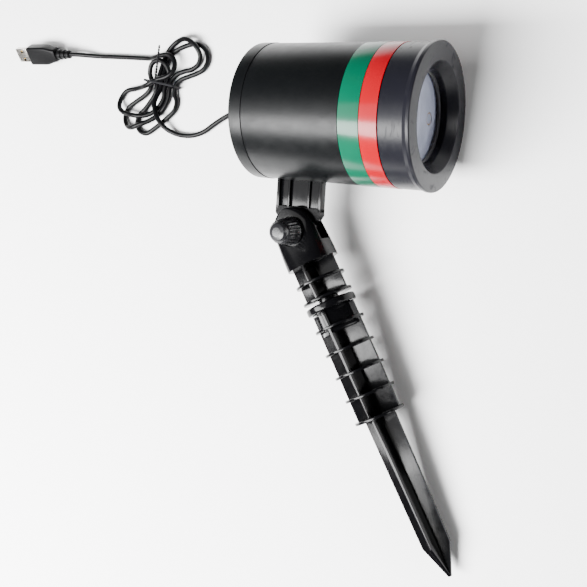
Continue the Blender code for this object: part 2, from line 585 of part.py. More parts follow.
# ---- lead ----------------------------------------------------------------------------------------------
# Route of the cord's centreline in millimetres from the lamp's front face: out of the gland, down to the
# ground, then through the tie and its loops in turn, and on to the plug.
ROUTE = [
    (0, 128, 45), (0, 138, 45), (0.4, 147, 43.8), (1.3, 154.5, 39.2), (2.4, 160.5, 31.5),
    (3.6, 165.5, 22.5), (4.7, 171, 12.6), (5.0, 177, 5.4), (3.8, 183.5, 2.4), (0.5, 190, 2), (-4, 197, 2),
    (-9.5, 205, 2), (-12.6, 214, 2), (-13.3, 223, 2), (-12.2, 232, 2.4), (-9.2, 239.5, 4.8),
    (-4, 246, 6.5), (3, 251, 6.6), (9.5, 253.3, 6.4), (16, 253, 4.9), (22, 251.4, 3.1),
    # first upper loop
    (28, 251, 3), (34, 250, 2.4), (41, 248.7, 2), (47, 246.3, 2), (51.8, 241.5, 2), (54.6, 235.1, 2),
    (56.4, 228.6, 2), (57, 221.9, 2), (54.5, 215.6, 2), (49.7, 210.9, 2), (43.5, 209.6, 2),
    (37.7, 212.6, 2), (34.2, 219.1, 2), (31.8, 226.3, 2.2), (29.1, 233, 2.7), (24.2, 236.8, 3),
    # right lower loop
    (18.3, 237.1, 2.5), (12.5, 234.8, 2), (6.1, 235.7, 2), (1.1, 240.3, 2), (-4, 246.6, 2),
    (-8.9, 253.4, 2), (-13.2, 260.6, 2), (-11.8, 267.9, 2), (-6.7, 271.6, 2), (0.2, 270.9, 2),
    (5.9, 265.5, 2), (11.7, 261, 2), (16.8, 257.4, 2.3), (22.1, 255.4, 3),
    # second upper loop, crossing over the first
    (28, 255, 3), (34, 254.2, 2.4), (41, 253, 2), (48.5, 250.5, 2), (55, 246, 2.1), (59.3, 238.9, 3.2),
    (60.2, 231.3, 5.6), (57.9, 224.4, 6.8), (53.5, 218.8, 6), (47.6, 216.4, 3.2), (41.7, 218, 2.1),
    (37.6, 223.5, 2.1), (35.9, 230.8, 2.2), (33.2, 237.4, 2.7), (28.3, 241.5, 3),
    # middle lower loop
    (21.8, 242.3, 3), (15, 243.2, 2.2), (8, 246.4, 2), (1.5, 252.1, 2.2), (-3.8, 259.3, 4),
    (-7.4, 266.7, 6.5), (-9.8, 274.1, 5.9), (-7.9, 281.4, 3.2), (-1.6, 285.1, 2.1), (5.9, 283.1, 2),
    (11.8, 275.1, 2), (16.6, 267.2, 2.2), (21.7, 262.1, 2.8),
    # short turn over the top
    (27.2, 261.1, 3), (33.9, 262.7, 4.7), (40.6, 259.8, 6.9), (43.2, 253.1, 7.8), (41, 247, 6.8),
    (35.1, 244.1, 4.5), (28.8, 245.5, 3),
    # left lower loop
    (22.2, 247.4, 3), (15.4, 247.8, 2.2), (9.3, 251, 2.1), (4, 256.5, 2.2), (0.4, 263.2, 4.2),
    (-0.4, 270, 6.8), (0.5, 277.3, 6.4), (2.3, 284.5, 6.7), (6.9, 290.6, 4.6), (13.4, 291.5, 2.5),
    (19.6, 287, 2), (21.5, 277.8, 2.3), (22.8, 269.4, 4.4), (23.8, 262.4, 7.3),
    # over the tie's end and on to the plug
    (26.4, 256.5, 7.9), (28.5, 250.4, 7.9), (30, 244.1, 8), (33.8, 238.9, 7.2), (39.1, 237.3, 6.4),
    (44.1, 239.1, 6.2), (47.6, 244.3, 6.6), (47.3, 251.4, 6.7), (46.4, 258.6, 4.9), (46, 266.1, 2.3),
    (46.2, 274, 2), (46.8, 290, 2), (47.3, 306, 2), (47.6, 320, 2.3), (47.7, 329.5, 4.2),
    (47.6, 337.5, 7.2), (47.6, 345, 8.4), (47.6, 352, 8.4),
]


def smooth_route(points, count):
    """Even points on a centripetal Catmull-Rom curve through the route."""
    knots = [Vector(p) / 1000 for p in points]
    knots = [2 * knots[0] - knots[1]] + knots + [2 * knots[-1] - knots[-2]]
    fine = []
    for a, b, c, d in zip(knots, knots[1:], knots[2:], knots[3:]):
        t1 = (b - a).length ** 0.5
        t2 = t1 + (c - b).length ** 0.5
        t3 = t2 + (d - c).length ** 0.5
        for step in range(12):
            t = t1 + (t2 - t1) * step / 12
            ab = a + (b - a) * (t / t1)
            bc = b + (c - b) * ((t - t1) / (t2 - t1))
            cd = c + (d - c) * ((t - t2) / (t3 - t2))
            abc = ab + (bc - ab) * (t / t2)
            bcd = bc + (cd - bc) * ((t - t1) / (t3 - t1))
            fine.append(abc + (bcd - abc) * ((t - t1) / (t2 - t1)))
    fine.append(knots[-2])
    run = [0.0]
    for a, b in zip(fine, fine[1:]):
        run.append(run[-1] + (b - a).length)
    even, index = [], 0
    for step in range(count):
        goal = run[-1] * step / (count - 1)
        while index < len(run) - 2 and run[index + 1] < goal:
            index += 1
        share = (goal - run[index]) / (run[index + 1] - run[index])
        even.append(fine[index].lerp(fine[index + 1], min(max(share, 0.0), 1.0)))
    return even


def build_cord(rest, looks):
    curve = bpy.data.curves.new("usb_cord", "CURVE")
    curve.dimensions = "3D"
    curve.bevel_depth = CORD_RADIUS
    curve.bevel_resolution = 2
    curve.use_fill_caps = True
    points = smooth_route(ROUTE, CORD_POINTS)
    spline = curve.splines.new("POLY")
    spline.points.add(len(points) - 1)
    for slot, point in zip(spline.points, points):
        slot.co = (*point, 1.0)
    curve.materials.append(looks["cord"])
    cord = bpy.data.objects.new("usb_cord", curve)
    bpy.context.collection.objects.link(cord)
    cord.parent = rest


def build_tie(rest, looks):
    """A wire tie wrapped round the gathered strands, with its twisted ends."""
    low, high = Vector((0, 232.6, 0.15)) / 1000, Vector((0, 264.8, 10.8)) / 1000
    corner = 0.0030
    thickness = 0.0007
    half_width = 0.0016

    def loop(grow):
        ring = []
        corners = ((high.y - corner, high.z - corner, 0), (low.y + corner, high.z - corner, 90),
                   (low.y + corner, low.z + corner, 180), (high.y - corner, low.z + corner, 270))
        for y, z, turn in corners:
            for step in range(5):
                angle = math.radians(turn + 22.5 * step)
                reach = corner - grow
                ring.append((y + reach * math.cos(angle), z + reach * math.sin(angle)))
        return ring

    outer, inner = loop(0.0), loop(thickness)
    slant = math.radians(-9)
    middle = Vector((0.0252, (low.y + high.y) / 2, 0))
    place = Matrix.Translation(middle) @ Matrix.Rotation(slant, 4, "Z") @ Matrix.Translation(-middle)
    bm = bmesh.new()
    sides = []
    for x in (middle.x - half_width, middle.x + half_width):
        for ring in (outer, inner):
            sides.append([bm.verts.new(place @ Vector((x, y, z))) for y, z in ring])
    count = len(outer)
    for first, second in ((0, 2), (2, 3), (3, 1), (1, 0)):
        for index in range(count):
            after = (index + 1) % count
            near, far = sides[first], sides[second]
            bm.faces.new((near[index], near[after], far[after], far[index]))
    finish("cord_tie", bm, rest, looks["tie"])
    turned("tie_twist", [(0, 0.0282), (0.0010, 0.0282), (0.0010, 0.0540), (0, 0.0540)], "X", rest,
           looks["tie"], (0, 0.2502, 0.0120), 8)


def rounded_box_ring(half_w, half_t, radius, station, steps=4):
    ring = []
    for sign_w, sign_t, turn in ((1, 1, 0), (-1, 1, 90), (-1, -1, 180), (1, -1, 270)):
        for step in range(steps + 1):
            angle = math.radians(turn + 90 * step / steps)
            ring.append(Vector((sign_w * (half_w - radius) + radius * math.cos(angle), station,
                                sign_t * (half_t - radius) + radius * math.sin(angle))))
    return ring


def build_plug(rest, looks):
    """A USB-A plug that rolls onto the edge of its overmould."""
    place = Matrix.Translation((*PLUG_PLACE, PLUG_HEIGHT)) @ Matrix.Rotation(-PLUG_ROLL, 4, "Y")
    plug = frame_empty("plug_frame", rest, place)
    bore = CORD_RADIUS + GAP
    ribs = []
    for index in range(3):
        start = 0.0045 * index
        radius = 0.0034 + 0.0004 * index
        ribs += [(radius, start), (radius, start + 0.0030), (radius - 0.0006, start + 0.0030),
                 (radius - 0.0006, start + 0.0045)]
    turned("usb_strain_relief", [(bore, 0.0), *ribs, (bore, 0.0135)], "Y", plug, looks["rubber"],
           steps=SMALL_SEGMENTS)
    stations = ((0.0052, 0.0040, 0.0145), (0.0056, 0.0043, 0.0165), (0.0077, 0.0047, 0.0245),
                (0.0078, 0.0048, 0.0440), (0.0074, 0.0044, 0.0450))
    mould = [rounded_box_ring(w, t, 0.0016, s) for w, t, s in stations]
    loft("usb_overmould", mould, plug, looks["rubber"])
    shell = box("usb_shell", (-0.0060, 0.0453, -0.00225), (0.0060, 0.0603, 0.00225), plug,
                looks["silver"])
    hollow = box("shell_hollow", (-0.0057, 0.0456, -0.00195), (0.0057, 0.0620, 0.00195), plug,
                 looks["silver"])
    windows = box("shell_windows", (-0.0047, 0.0520, -0.0040), (-0.0022, 0.0545, 0.0040), plug,
                  looks["silver"])
    windows_right = box("shell_windows_right", (0.0022, 0.0520, -0.0040), (0.0047, 0.0545, 0.0040), plug,
                        looks["silver"])
    combine(shell, "DIFFERENCE", [hollow, windows, windows_right])
    box("usb_contacts", (-0.0054, 0.0459, -0.0016), (0.0054, 0.0598, 0.0002), plug, looks["contacts"])


def main():
    for item in list(bpy.data.objects):
        bpy.data.objects.remove(item, do_unlink=True)
    looks = {
        "housing": material("moulded_black_abs", (0.018, 0.019, 0.021), 0.45),
        "rear": material("moulded_black_rear", (0.016, 0.017, 0.019), 0.45),
        "bezel": material("satin_grey_black", (0.060, 0.062, 0.080), 0.35),
        "green_band": material("green_film", (0.0, 0.33, 0.13), 0.2),
        "red_band": material("red_film", (0.80, 0.035, 0.045), 0.2),
        "gasket": material("grey_gasket", (0.05, 0.05, 0.052), 0.7),
        "glass": material("clear_glass", (0.75, 0.77, 0.82), 0.05),
        "plate": material("grey_aperture_plate", (0.30, 0.30, 0.36), 0.4),
        "plastic": material("black_plastic", (0.02, 0.02, 0.02), 0.5),
        "brass": material("turned_brass", (0.70, 0.50, 0.22), 0.3, 1.0),
        "aluminium": material("milled_aluminium", (0.75, 0.76, 0.78), 0.35, 1.0),
        "steel": material("zinc_steel", (0.55, 0.56, 0.58), 0.35, 1.0),
        "board": material("green_circuit_board", (0.02, 0.16, 0.07), 0.5),
        "button": material("soft_grey_button", (0.10, 0.10, 0.11), 0.6),
        "rubber": material("black_pvc", (0.020, 0.020, 0.022), 0.5),
        "stake": material("glossy_black_abs", (0.012, 0.012, 0.014), 0.22),
        "knob": material("satin_knob", (0.10, 0.10, 0.11), 0.3),
        "cord": material("pvc_cord", (0.014, 0.014, 0.016), 0.4),
        "tie": material("tie_wire", (0.012, 0.012, 0.013), 0.5),
        "silver": material("nickel_plate", (0.72, 0.70, 0.68), 0.25, 1.0),
        "contacts": material("contact_carrier", (0.05, 0.05, 0.05), 0.5),
    }
    rest = frame_empty("rest_frame", None, Matrix.Translation(-CENTRE))
    tip = Matrix.Rotation(-TIP_OVER, 4, "Y")
    head = frame_empty("head_frame", rest, Matrix.Translation((0, 0, BEZEL_RADIUS)) @ tip)
    turn = Matrix.Rotation(math.pi + STAKE_ANGLE, 4, "Z")
    stake = frame_empty("stake_frame", head, Matrix.Translation(HINGE) @ turn)
    build_bezel(head, looks)
    build_bands(head, looks)
    build_housing(head, looks)
    build_lens_stack(head, looks)
    build_lasers(head, looks)
    build_electronics(head, looks)
    build_rear(head, looks)
    build_bracket(head, looks)
    build_upper(stake, looks)
    build_collar(stake, looks)
    build_lower(stake, looks)
    build_thumbscrew(stake, looks)
    build_cord(rest, looks)
    build_tie(rest, looks)
    build_plug(rest, looks)
    bpy.context.view_layer.update()


main()
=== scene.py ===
import json
import math

import bmesh
import bpy
from bpy.props import FloatProperty, FloatVectorProperty, PointerProperty, StringProperty
from mathutils import Matrix, Vector


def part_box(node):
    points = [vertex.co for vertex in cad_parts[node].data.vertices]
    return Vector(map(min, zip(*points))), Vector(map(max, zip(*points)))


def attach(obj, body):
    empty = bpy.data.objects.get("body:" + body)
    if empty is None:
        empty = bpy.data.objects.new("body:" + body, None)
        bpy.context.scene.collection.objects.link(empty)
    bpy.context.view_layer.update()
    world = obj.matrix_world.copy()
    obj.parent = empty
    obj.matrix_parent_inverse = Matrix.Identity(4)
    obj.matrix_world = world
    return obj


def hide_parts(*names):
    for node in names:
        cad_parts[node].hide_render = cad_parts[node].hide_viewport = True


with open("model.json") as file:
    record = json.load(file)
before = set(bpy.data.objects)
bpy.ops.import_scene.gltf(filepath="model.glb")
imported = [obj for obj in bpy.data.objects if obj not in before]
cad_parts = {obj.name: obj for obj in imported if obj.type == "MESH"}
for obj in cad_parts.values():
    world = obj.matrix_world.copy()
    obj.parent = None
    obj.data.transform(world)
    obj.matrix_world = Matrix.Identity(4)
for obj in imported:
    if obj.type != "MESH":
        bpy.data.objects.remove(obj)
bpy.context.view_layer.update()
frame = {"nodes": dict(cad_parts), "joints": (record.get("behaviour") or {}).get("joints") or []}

bl_info = {
    "name": "Light projector stake",
    "version": (1, 0, 0),
    "blender": (4, 5, 0),
    "location": "View3D > Sidebar > Projector",
    "description": "Makes the finished surfaces of a garden light projector around its packed frame",
    "category": "Object",
}

# ---- places --------------------------------------------------------------
# The head frame looks along +Y from the lens to the rear cover, with the stake towards -X and the
# hinge along +Z. The stake frame starts on the hinge and runs down the stake along +X.
TILT_JOINT = next(j for j in frame["joints"] if j["name"] == "stake_tilt")
HINGE_WORLD = Vector(TILT_JOINT["pos_m"])
HINGE_AXIS = Vector(TILT_JOINT["axis"])
SPIKE_AXIS = Vector(next(j for j in frame["joints"] if j["name"] == "spike_release")["axis"])
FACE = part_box("front_bezel")
TIP_OVER = math.atan2(-HINGE_AXIS.x, HINGE_AXIS.z)
FACE_CENTRE = Vector(((FACE[0].x + FACE[1].x) / 2, FACE[0].y, (FACE[0].z + FACE[1].z) / 2))
REST = Matrix.Translation(FACE_CENTRE - Vector((0, 0, FACE_CENTRE.z)))
HEAD = Matrix.Translation(FACE_CENTRE) @ Matrix.Rotation(-TIP_OVER, 4, "Y")
SIDE_AXIS = HINGE_AXIS.cross(SPIKE_AXIS)
STAKE = Matrix.Translation(HINGE_WORLD) @ Matrix((SPIKE_AXIS, SIDE_AXIS, HINGE_AXIS)).transposed().to_4x4()
HINGE = HEAD.inverted() @ HINGE_WORLD
PLUG_ROLL = math.radians(40)
PLUG = REST @ Matrix.Translation((0.0476, 0.3480, 0.0084)) @ Matrix.Rotation(-PLUG_ROLL, 4, "Y")
MM = 0.001

# ---- sizes shared by several shapes --------------------------------------
MODULE_OFFSET = 0.0180      # from the lamp's axis to each laser
BUTTON_OFFSET = 0.0200      # from the lamp's axis to the button
SCREW_CIRCLE = 0.0362       # radius that the rear screws stand on
HOOD_RADIUS = 0.0156        # round top of the clevis
HOOD_END = 0.0245           # where the clevis ends, down the stake
SLOT_HALF = 0.0053          # half the gap between the clevis cheeks
RING_RADIUS = 0.0171        # flanges and latch collar
FIN_HALF = 0.0162           # reach of the wide fins from the stake's axis
FIN_THICKNESS = 0.0022
SHARP_ANGLE = 35            # degrees from which an edge stays sharp
WELD = 1e-6

# Route of the lead's centreline in millimetres, from the point of the floor under the front face.
# It is not a list chosen by hand: an optimiser moved 71 of its 118 points, by 1.6 mm at most.
ROUTE = [
    (0, 128, 45), (0, 138, 45), (0.4, 147, 43.8), (1.3, 154.5, 39.2), (2.4, 160.5, 31.5),
    (3.6, 165.5, 22.5), (4.7, 171, 12.6), (5, 177, 5.4), (3.8, 183.5, 2.4), (0.5, 190, 2), (-4, 197, 2),
    (-9.5, 205, 2), (-12.6, 214, 2), (-13.3, 223, 2), (-12.2, 232, 2.4), (-9.2, 239.5, 4.8),
    (-4, 246, 6.5), (3, 251, 6.6), (9.5, 253.3, 6.4), (16, 253, 4.9), (22, 251.4, 3.1),
    # first upper loop
    (28, 251, 3), (34, 250, 2.4), (41, 248.7, 2), (47, 246.3, 2), (51.8, 241.5, 2), (54.6, 235.1, 2),
    (56.4, 228.6, 2), (57, 221.9, 2), (54.5, 215.6, 2), (49.7, 210.9, 2), (43.5, 209.6, 2),
    (37.7, 212.6, 2), (34.2, 219.1, 2), (31.8, 226.3, 2.2), (29.1, 233, 2.7), (24.2, 236.8, 3),
    # right lower loop
    (18.3, 237.1, 2.5), (12.5, 234.8, 2), (6.1, 235.7, 2), (1.1, 240.3, 2), (-4, 246.6, 2),
    (-8.9, 253.4, 2), (-13.2, 260.6, 2), (-11.8, 267.9, 2), (-6.7, 271.6, 2), (0.2, 270.9, 2),
    (5.9, 265.5, 2), (11.7, 261, 2), (16.8, 257.4, 2.3), (22.1, 255.4, 3),
    # second upper loop, crossing over the first
    (28, 255, 3), (34, 254.2, 2.4), (41, 253, 2), (48.5, 250.5, 2), (55, 246, 2.1), (59.3, 238.9, 3.2),
    (60.2, 231.3, 5.6), (57.9, 224.4, 6.8), (53.5, 218.8, 6), (47.6, 216.4, 3.2), (41.7, 218, 2.1),
    (37.6, 223.5, 2.1), (35.9, 230.8, 2.2), (33.2, 237.4, 2.7), (28.3, 241.5, 3),
    # middle lower loop
    (21.8, 242.3, 3), (15, 243.2, 2.2), (8, 246.4, 2), (1.5, 252.1, 2.2), (-3.8, 259.3, 4),
    (-7.4, 266.7, 6.5), (-9.8, 274.1, 5.9), (-7.9, 281.4, 3.2), (-1.6, 285.1, 2.1), (5.9, 283.1, 2),
    (11.8, 275.1, 2), (16.6, 267.2, 2.2), (21.7, 262.1, 2.8),
    # short turn over the top
    (27.2, 261.1, 3), (33.9, 262.7, 4.7), (40.6, 259.8, 6.9), (43.2, 253.1, 7.8), (41, 247, 6.8),
    (35.1, 244.1, 4.5), (28.8, 245.5, 3),
    # left lower loop
    (22.2, 247.4, 3), (15.4, 247.8, 2.2), (9.3, 251, 2.1), (4, 256.5, 2.2), (0.4, 263.2, 4.2),
    (-0.4, 270, 6.8), (0.5, 277.3, 6.4), (2.3, 284.5, 6.7), (6.9, 290.6, 4.6), (13.4, 291.5, 2.5),
    (19.6, 287, 2), (21.5, 277.8, 2.3), (22.8, 269.4, 4.4), (23.8, 262.4, 7.3),
    # over the tie's end and on to the plug
    (26.4, 256.5, 7.9), (28.5, 250.4, 7.9), (30, 244.1, 8), (33.8, 238.9, 7.2), (39.1, 237.3, 6.4),
    (44.1, 239.1, 6.2), (47.6, 244.3, 6.6), (47.3, 251.4, 6.7), (46.4, 258.6, 4.9), (46, 266.1, 2.3),
    (46.2, 274, 2), (46.8, 290, 2), (47.3, 306, 2), (47.6, 320, 2.3), (47.7, 329.5, 4.2),
    (47.6, 337.5, 7.2), (47.6, 345, 8.4), (47.6, 352, 8.4),
]


# ---- properties ----------------------------------------------------------
def colour_property(name, description, code):
    return StringProperty(name=name, description=description, default=code)


class ProjectorFinishes(bpy.types.PropertyGroup):
    """Colours of the projector's own materials, as sRGB hex codes."""
    housing: colour_property("Housing", "Moulded ABS of the barrel and the rear cover", "#08090a")
    bezel: colour_property("Bezel", "Satin ABS of the front ring", "#121217")
    green: colour_property("Green band", "Printed film of the rear band", "#004a35")
    red: colour_property("Red band", "Printed film of the front band", "#8c0212")
    stake: colour_property("Stake", "Glossy ABS of the bracket, stake and spike", "#050506")
    knob: colour_property("Knob", "Satin ABS of the thumb knob", "#151517")
    window: colour_property("Aperture plate", "Light plate behind the window", "#b9bac9")
    lead: colour_property("Lead", "PVC jacket of the lead and plug", "#060607")


class ProjectorSizes(bpy.types.PropertyGroup):
    """Sizes of the fine shapes that the frame leaves plain."""
    edge: FloatProperty(name="Edge round", description="Rounding of moulded edges", default=0.0004,
                        unit="LENGTH")
    cord_radius: FloatProperty(name="Cord radius", description="Radius of the lead", default=0.0019,
                               unit="LENGTH")
    lens_mm: FloatProperty(name="Focal length", description="Camera focal length in millimetres",
                           default=52.6)
    camera_place: FloatVectorProperty(name="Camera place", description="Where the camera stands",
                                      default=(0.03015, -0.24648, 0.53061), subtype="XYZ", unit="LENGTH")
    camera_turn: FloatVectorProperty(name="Camera turn", description="Turn of the camera in degrees",
                                     default=(1.2542, 30.0274, -81.4732))


# ---- material nodes ------------------------------------------------------
def linear(code):
    """sRGB hex code to a linear colour with alpha."""
    values = [int(code[i:i + 2], 16) / 255 for i in (1, 3, 5)]
    return [v / 12.92 if v <= 0.04045 else ((v + 0.055) / 1.055) ** 2.4 for v in values] + [1.0]


def feed(tree, made, inputs):
    """Give a node's inputs their values, or link them to the sockets given."""
    for key, value in inputs.items():
        if isinstance(value, bpy.types.NodeSocket):
            tree.links.new(value, made.inputs[key])
        else:
            made.inputs[key].default_value = value


def node(tree, kind, inputs, **settings):
    """Add a node; settings are its attributes."""
    made = tree.nodes.new(kind)
    for key, value in settings.items():
        setattr(made, key, value)
    feed(tree, made, inputs)
    return made


def noise(tree, place, scale, detail, **inputs):
    inputs.update({"Vector": place, "Scale": scale, "Detail": detail})
    return node(tree, "ShaderNodeTexNoise", inputs).outputs["Fac"]


def spread(tree, value, low, high, start=0.0, end=1.0):
    """Spread a value between start and end over the range from low to high."""
    return node(tree, "ShaderNodeMapRange", {"Value": value, "From Min": start, "From Max": end,
                                             "To Min": low, "To Max": high}).outputs["Result"]


def mottle(tree, shader, place, code, scale, detail, darker, lighter):
    """Let the base colour drift between a darker and a lighter tone."""
    base = linear(code)[:3]
    tone = node(tree, "ShaderNodeMix", {"Factor": noise(tree, place, scale, detail),
                                        "A": [c * darker for c in base] + [1.0],
                                        "B": [min(c * lighter, 1.0) for c in base] + [1.0]},
                data_type="RGBA")
    feed(tree, shader, {"Base Color": tone.outputs["Result"]})


def relief_on(tree, shader, height, strength, distance):
    """Show a texture as fine relief."""
    bump = node(tree, "ShaderNodeBump", {"Height": height, "Strength": strength, "Distance": distance})
    feed(tree, shader, {"Normal": bump.outputs["Normal"]})


def new_material(name):
    made = bpy.data.materials.new(name)
    made.use_nodes = True
    tree = made.node_tree
    shader = tree.nodes["Principled BSDF"]
    place = node(tree, "ShaderNodeTexCoord", {}).outputs["Object"]
    return made, tree, shader, place


def moulded_abs(name, code, roughness, grain_mm, grain_depth, specular=0.16):
    """ABS from a spark-eroded mould: fine even grain that breaks up the gloss, with slow changes of tone
    where the melt met and faint rubbing."""
    made, tree, shader, place = new_material(name)
    mottle(tree, shader, place, code, 26.0, 4.0, 0.8, 1.25)
    rub = noise(tree, place, 140.0, 6.0, Roughness=0.7)
    relief_on(tree, shader, noise(tree, place, 1000.0 / grain_mm, 2.0), 1.0, grain_depth * MM)
    feed(tree, shader, {"Roughness": spread(tree, rub, roughness - 0.04, roughness + 0.06, 0.3, 0.7),
                        "Specular IOR Level": specular})
    return made


def scuffed_bezel_abs(code):
    """Satin ABS with flow marks near the edge, where the film meets it: short rubbed streaks."""
    made = moulded_abs("satin_abs_with_flow_marks", code, 0.34, 1.0, 0.02, specular=0.12)
    tree = made.node_tree
    place = tree.nodes["Texture Coordinate"].outputs["Object"]
    turn = node(tree, "ShaderNodeMapping", {"Vector": place, "Scale": (130.0, 700.0, 130.0)})
    streak = noise(tree, turn.outputs["Vector"], 1.0, 5.0, Distortion=1.2)
    feed(tree, tree.nodes["Principled BSDF"], {"Roughness": spread(tree, streak, 0.30, 0.55, 0.58, 0.72)})
    return made


def printed_film(name, code):
    """Vinyl film with a gloss laminate: clean colour, a hard reflection, and a slight orange peel."""
    made, tree, shader, place = new_material(name)
    mottle(tree, shader, place, code, 60.0, 2.0, 0.92, 1.06)
    relief_on(tree, shader, noise(tree, place, 500.0, 1.0), 0.6, 0.00001)
    feed(tree, shader, {"Roughness": 0.2, "Specular IOR Level": 0.15, "Coat Weight": 0.05,
                        "Coat Roughness": 0.06})
    return made


def window_glass():
    """Float glass: clear with a hard reflection and a trace of haze from dust."""
    made, tree, shader, place = new_material("float_glass_window")
    haze = noise(tree, place, 90.0, 5.0)
    feed(tree, shader, {"Roughness": spread(tree, haze, 0.0, 0.06), "Base Color": linear("#eef1f6"),
                        "Transmission Weight": 1.0, "IOR": 1.45})
    return made


def metal(name, code, roughness, brush_mm, across=(1.0, 1.0, 1.0)):
    """Bare metal with the fine marks of its making drawn out along one way."""
    made, tree, shader, place = new_material(name)
    stretch = node(tree, "ShaderNodeMapping", {"Vector": place, "Scale": across})
    marks = noise(tree, stretch.outputs["Vector"], 1000.0 / brush_mm, 3.0)
    relief_on(tree, shader, marks, 0.5, 0.00001)
    feed(tree, shader, {"Roughness": spread(tree, marks, roughness - 0.08, roughness + 0.10),
                        "Base Color": linear(code), "Metallic": 1.0})
    return made


def soft_polymer(name, code, roughness, grain_mm, sheen=0.0):
    """Soft PVC or rubber: an even satin skin with a fine pebble from extrusion or moulding."""
    made, tree, shader, place = new_material(name)
    mottle(tree, shader, place, code, 80.0, 3.0, 0.75, 1.35)
    relief_on(tree, shader, noise(tree, place, 1000.0 / grain_mm, 2.0), 0.8, 0.00002)
    feed(tree, shader, {"Roughness": roughness, "Specular IOR Level": 0.1, "Sheen Weight": sheen})
    return made


def circuit_laminate():
    """Glass-epoxy board under green solder mask, with copper tracks showing through as lighter lines."""
    made, tree, shader, place = new_material("solder_masked_board")
    turn = node(tree, "ShaderNodeMapping", {"Vector": place, "Rotation": (0.0, -TIP_OVER, 0.0)})
    tracks = node(tree, "ShaderNodeTexBrick", {"Vector": turn.outputs["Vector"], "Scale": 90.0,
                                               "Mortar Size": 0.02, "Color1": linear("#0d4a26"),
                                               "Color2": linear("#0f5a2d"), "Mortar": linear("#2f8a4c")})
    feed(tree, shader, {"Base Color": tracks.outputs["Color"], "Roughness": 0.35})
    return made


MATERIALS = {}


def make_materials():
    look = bpy.context.scene.projector_finishes
    MATERIALS.update({
        "housing": moulded_abs("grained_black_abs", look.housing, 0.33, 0.9, 0.035, specular=0.12),
        "bezel": scuffed_bezel_abs(look.bezel),
        "green_film": printed_film("green_vinyl_film", look.green),
        "red_film": printed_film("red_vinyl_film", look.red),
        "stake": moulded_abs("polished_black_abs", look.stake, 0.16, 1.6, 0.012, specular=0.11),
        "knob": moulded_abs("satin_black_abs", look.knob, 0.26, 1.2, 0.02, specular=0.3),
        "plate": soft_polymer("grey_polystyrene_plate", look.window, 0.45, 1.5),
        "glass": window_glass(),
        "cord": soft_polymer("extruded_black_pvc", look.lead, 0.34, 0.8),
        "pvc": soft_polymer("moulded_black_pvc", look.lead, 0.42, 0.7),
        "soft_grey": soft_polymer("grey_silicone", "#3b3b3f", 0.6, 0.9, sheen=0.2),
        "tie": soft_polymer("coated_tie_wire", "#131315", 0.5, 0.6),
        "nickel": metal("nickel_plated_steel", "#cfcbc4", 0.24, 0.9, (1.0, 0.1, 1.0)),
        "gold": metal("gold_flashed_contacts", "#d9ac52", 0.25, 0.6),
        "steel": metal("zinc_plated_steel", "#b9bbbf", 0.34, 0.8),
        "aluminium": metal("turned_aluminium", "#c9cbce", 0.32, 0.7),
        "brass": metal("turned_brass", "#c79c54", 0.28, 0.6),
        "board": circuit_laminate(),
        "inner_plastic": moulded_abs("black_pbt", "#16161a", 0.5, 0.8, 0.02),
    })


# ---- shapes --------------------------------------------------------------
AXES = {"X": Vector((1, 0, 0)), "Y": Vector((0, 1, 0)), "Z": Vector((0, 0, 1))}
RADIAL = {"X": Vector((0, 0, 1)), "Y": Vector((0, 0, 1)), "Z": Vector((1, 0, 0))}


def rounded(corners, radii, steps=4):
    """Round the corners of a profile: each corner gets an arc of its own radius."""
    out = []
    count = len(corners)
    for index, corner in enumerate(corners):
        radius = radii.get(index, 0.0)
        point = Vector(corner)
        before = Vector(corners[index - 1]) - point
        after = Vector(corners[(index + 1) % count]) - point
        if radius <= 0 or before.length < 1e-9 or after.length < 1e-9:
            out.append(tuple(point))
            continue
        half = before.angle(after) / 2
        reach = min(radius / math.tan(half), before.length * 0.49, after.length * 0.49)
        start = point + before.normalized() * reach
        end = point + after.normalized() * reach
        for step in range(steps + 1):
            t = step / steps
            out.append(tuple(start * (1 - t) ** 2 + point * 2 * t * (1 - t) + end * t ** 2))
    return out


def spin_profile(bm, profile, axis, centre=(0, 0, 0), steps=128):
    """Turn a profile of (radius, station) points about an axis; an open profile starts and ends on it."""
    middle = Vector(centre)
    verts = [bm.verts.new(middle + r * RADIAL[axis] + s * AXES[axis]) for r, s in profile]
    edges = [bm.edges.new(pair) for pair in zip(verts, verts[1:])]
    if profile[0][0] > 0:
        edges.append(bm.edges.new((verts[-1], verts[0])))
    bmesh.ops.spin(bm, geom=verts + edges, cent=middle, axis=AXES[axis], dvec=(0, 0, 0),
                   angle=math.tau, steps=steps, use_merge=True, use_duplicate=False)


def cube_into(bm, low, high):
    size = Vector(high) - Vector(low)
    matrix = Matrix.Translation((Vector(high) + Vector(low)) / 2) @ Matrix.Diagonal((*size, 1.0))
    bmesh.ops.create_cube(bm, size=1.0, matrix=matrix)


def bridge_rings(bm, rings):
    """Bridge closed rings of equal count and cap both ends."""
    loops = []
    for ring in rings:
        verts = [bm.verts.new(point) for point in ring]
        loops.append([bm.edges.new(pair) for pair in zip(verts, verts[1:] + verts[:1])])
    for first, second in zip(loops, loops[1:]):
        bmesh.ops.bridge_loops(bm, edges=first + second)
    for loop in (loops[0], loops[-1]):
        bmesh.ops.contextual_create(bm, geom=loop)


def extrude(bm, outline, reach):
    """Draw a flat outline out by a vector."""
    face = bm.faces.new([bm.verts.new(point) for point in outline])
    grown = bmesh.ops.extrude_face_region(bm, geom=[face])["geom"]
    moved = [item for item in grown if isinstance(item, bmesh.types.BMVert)]
    bmesh.ops.translate(bm, verts=moved, vec=reach)


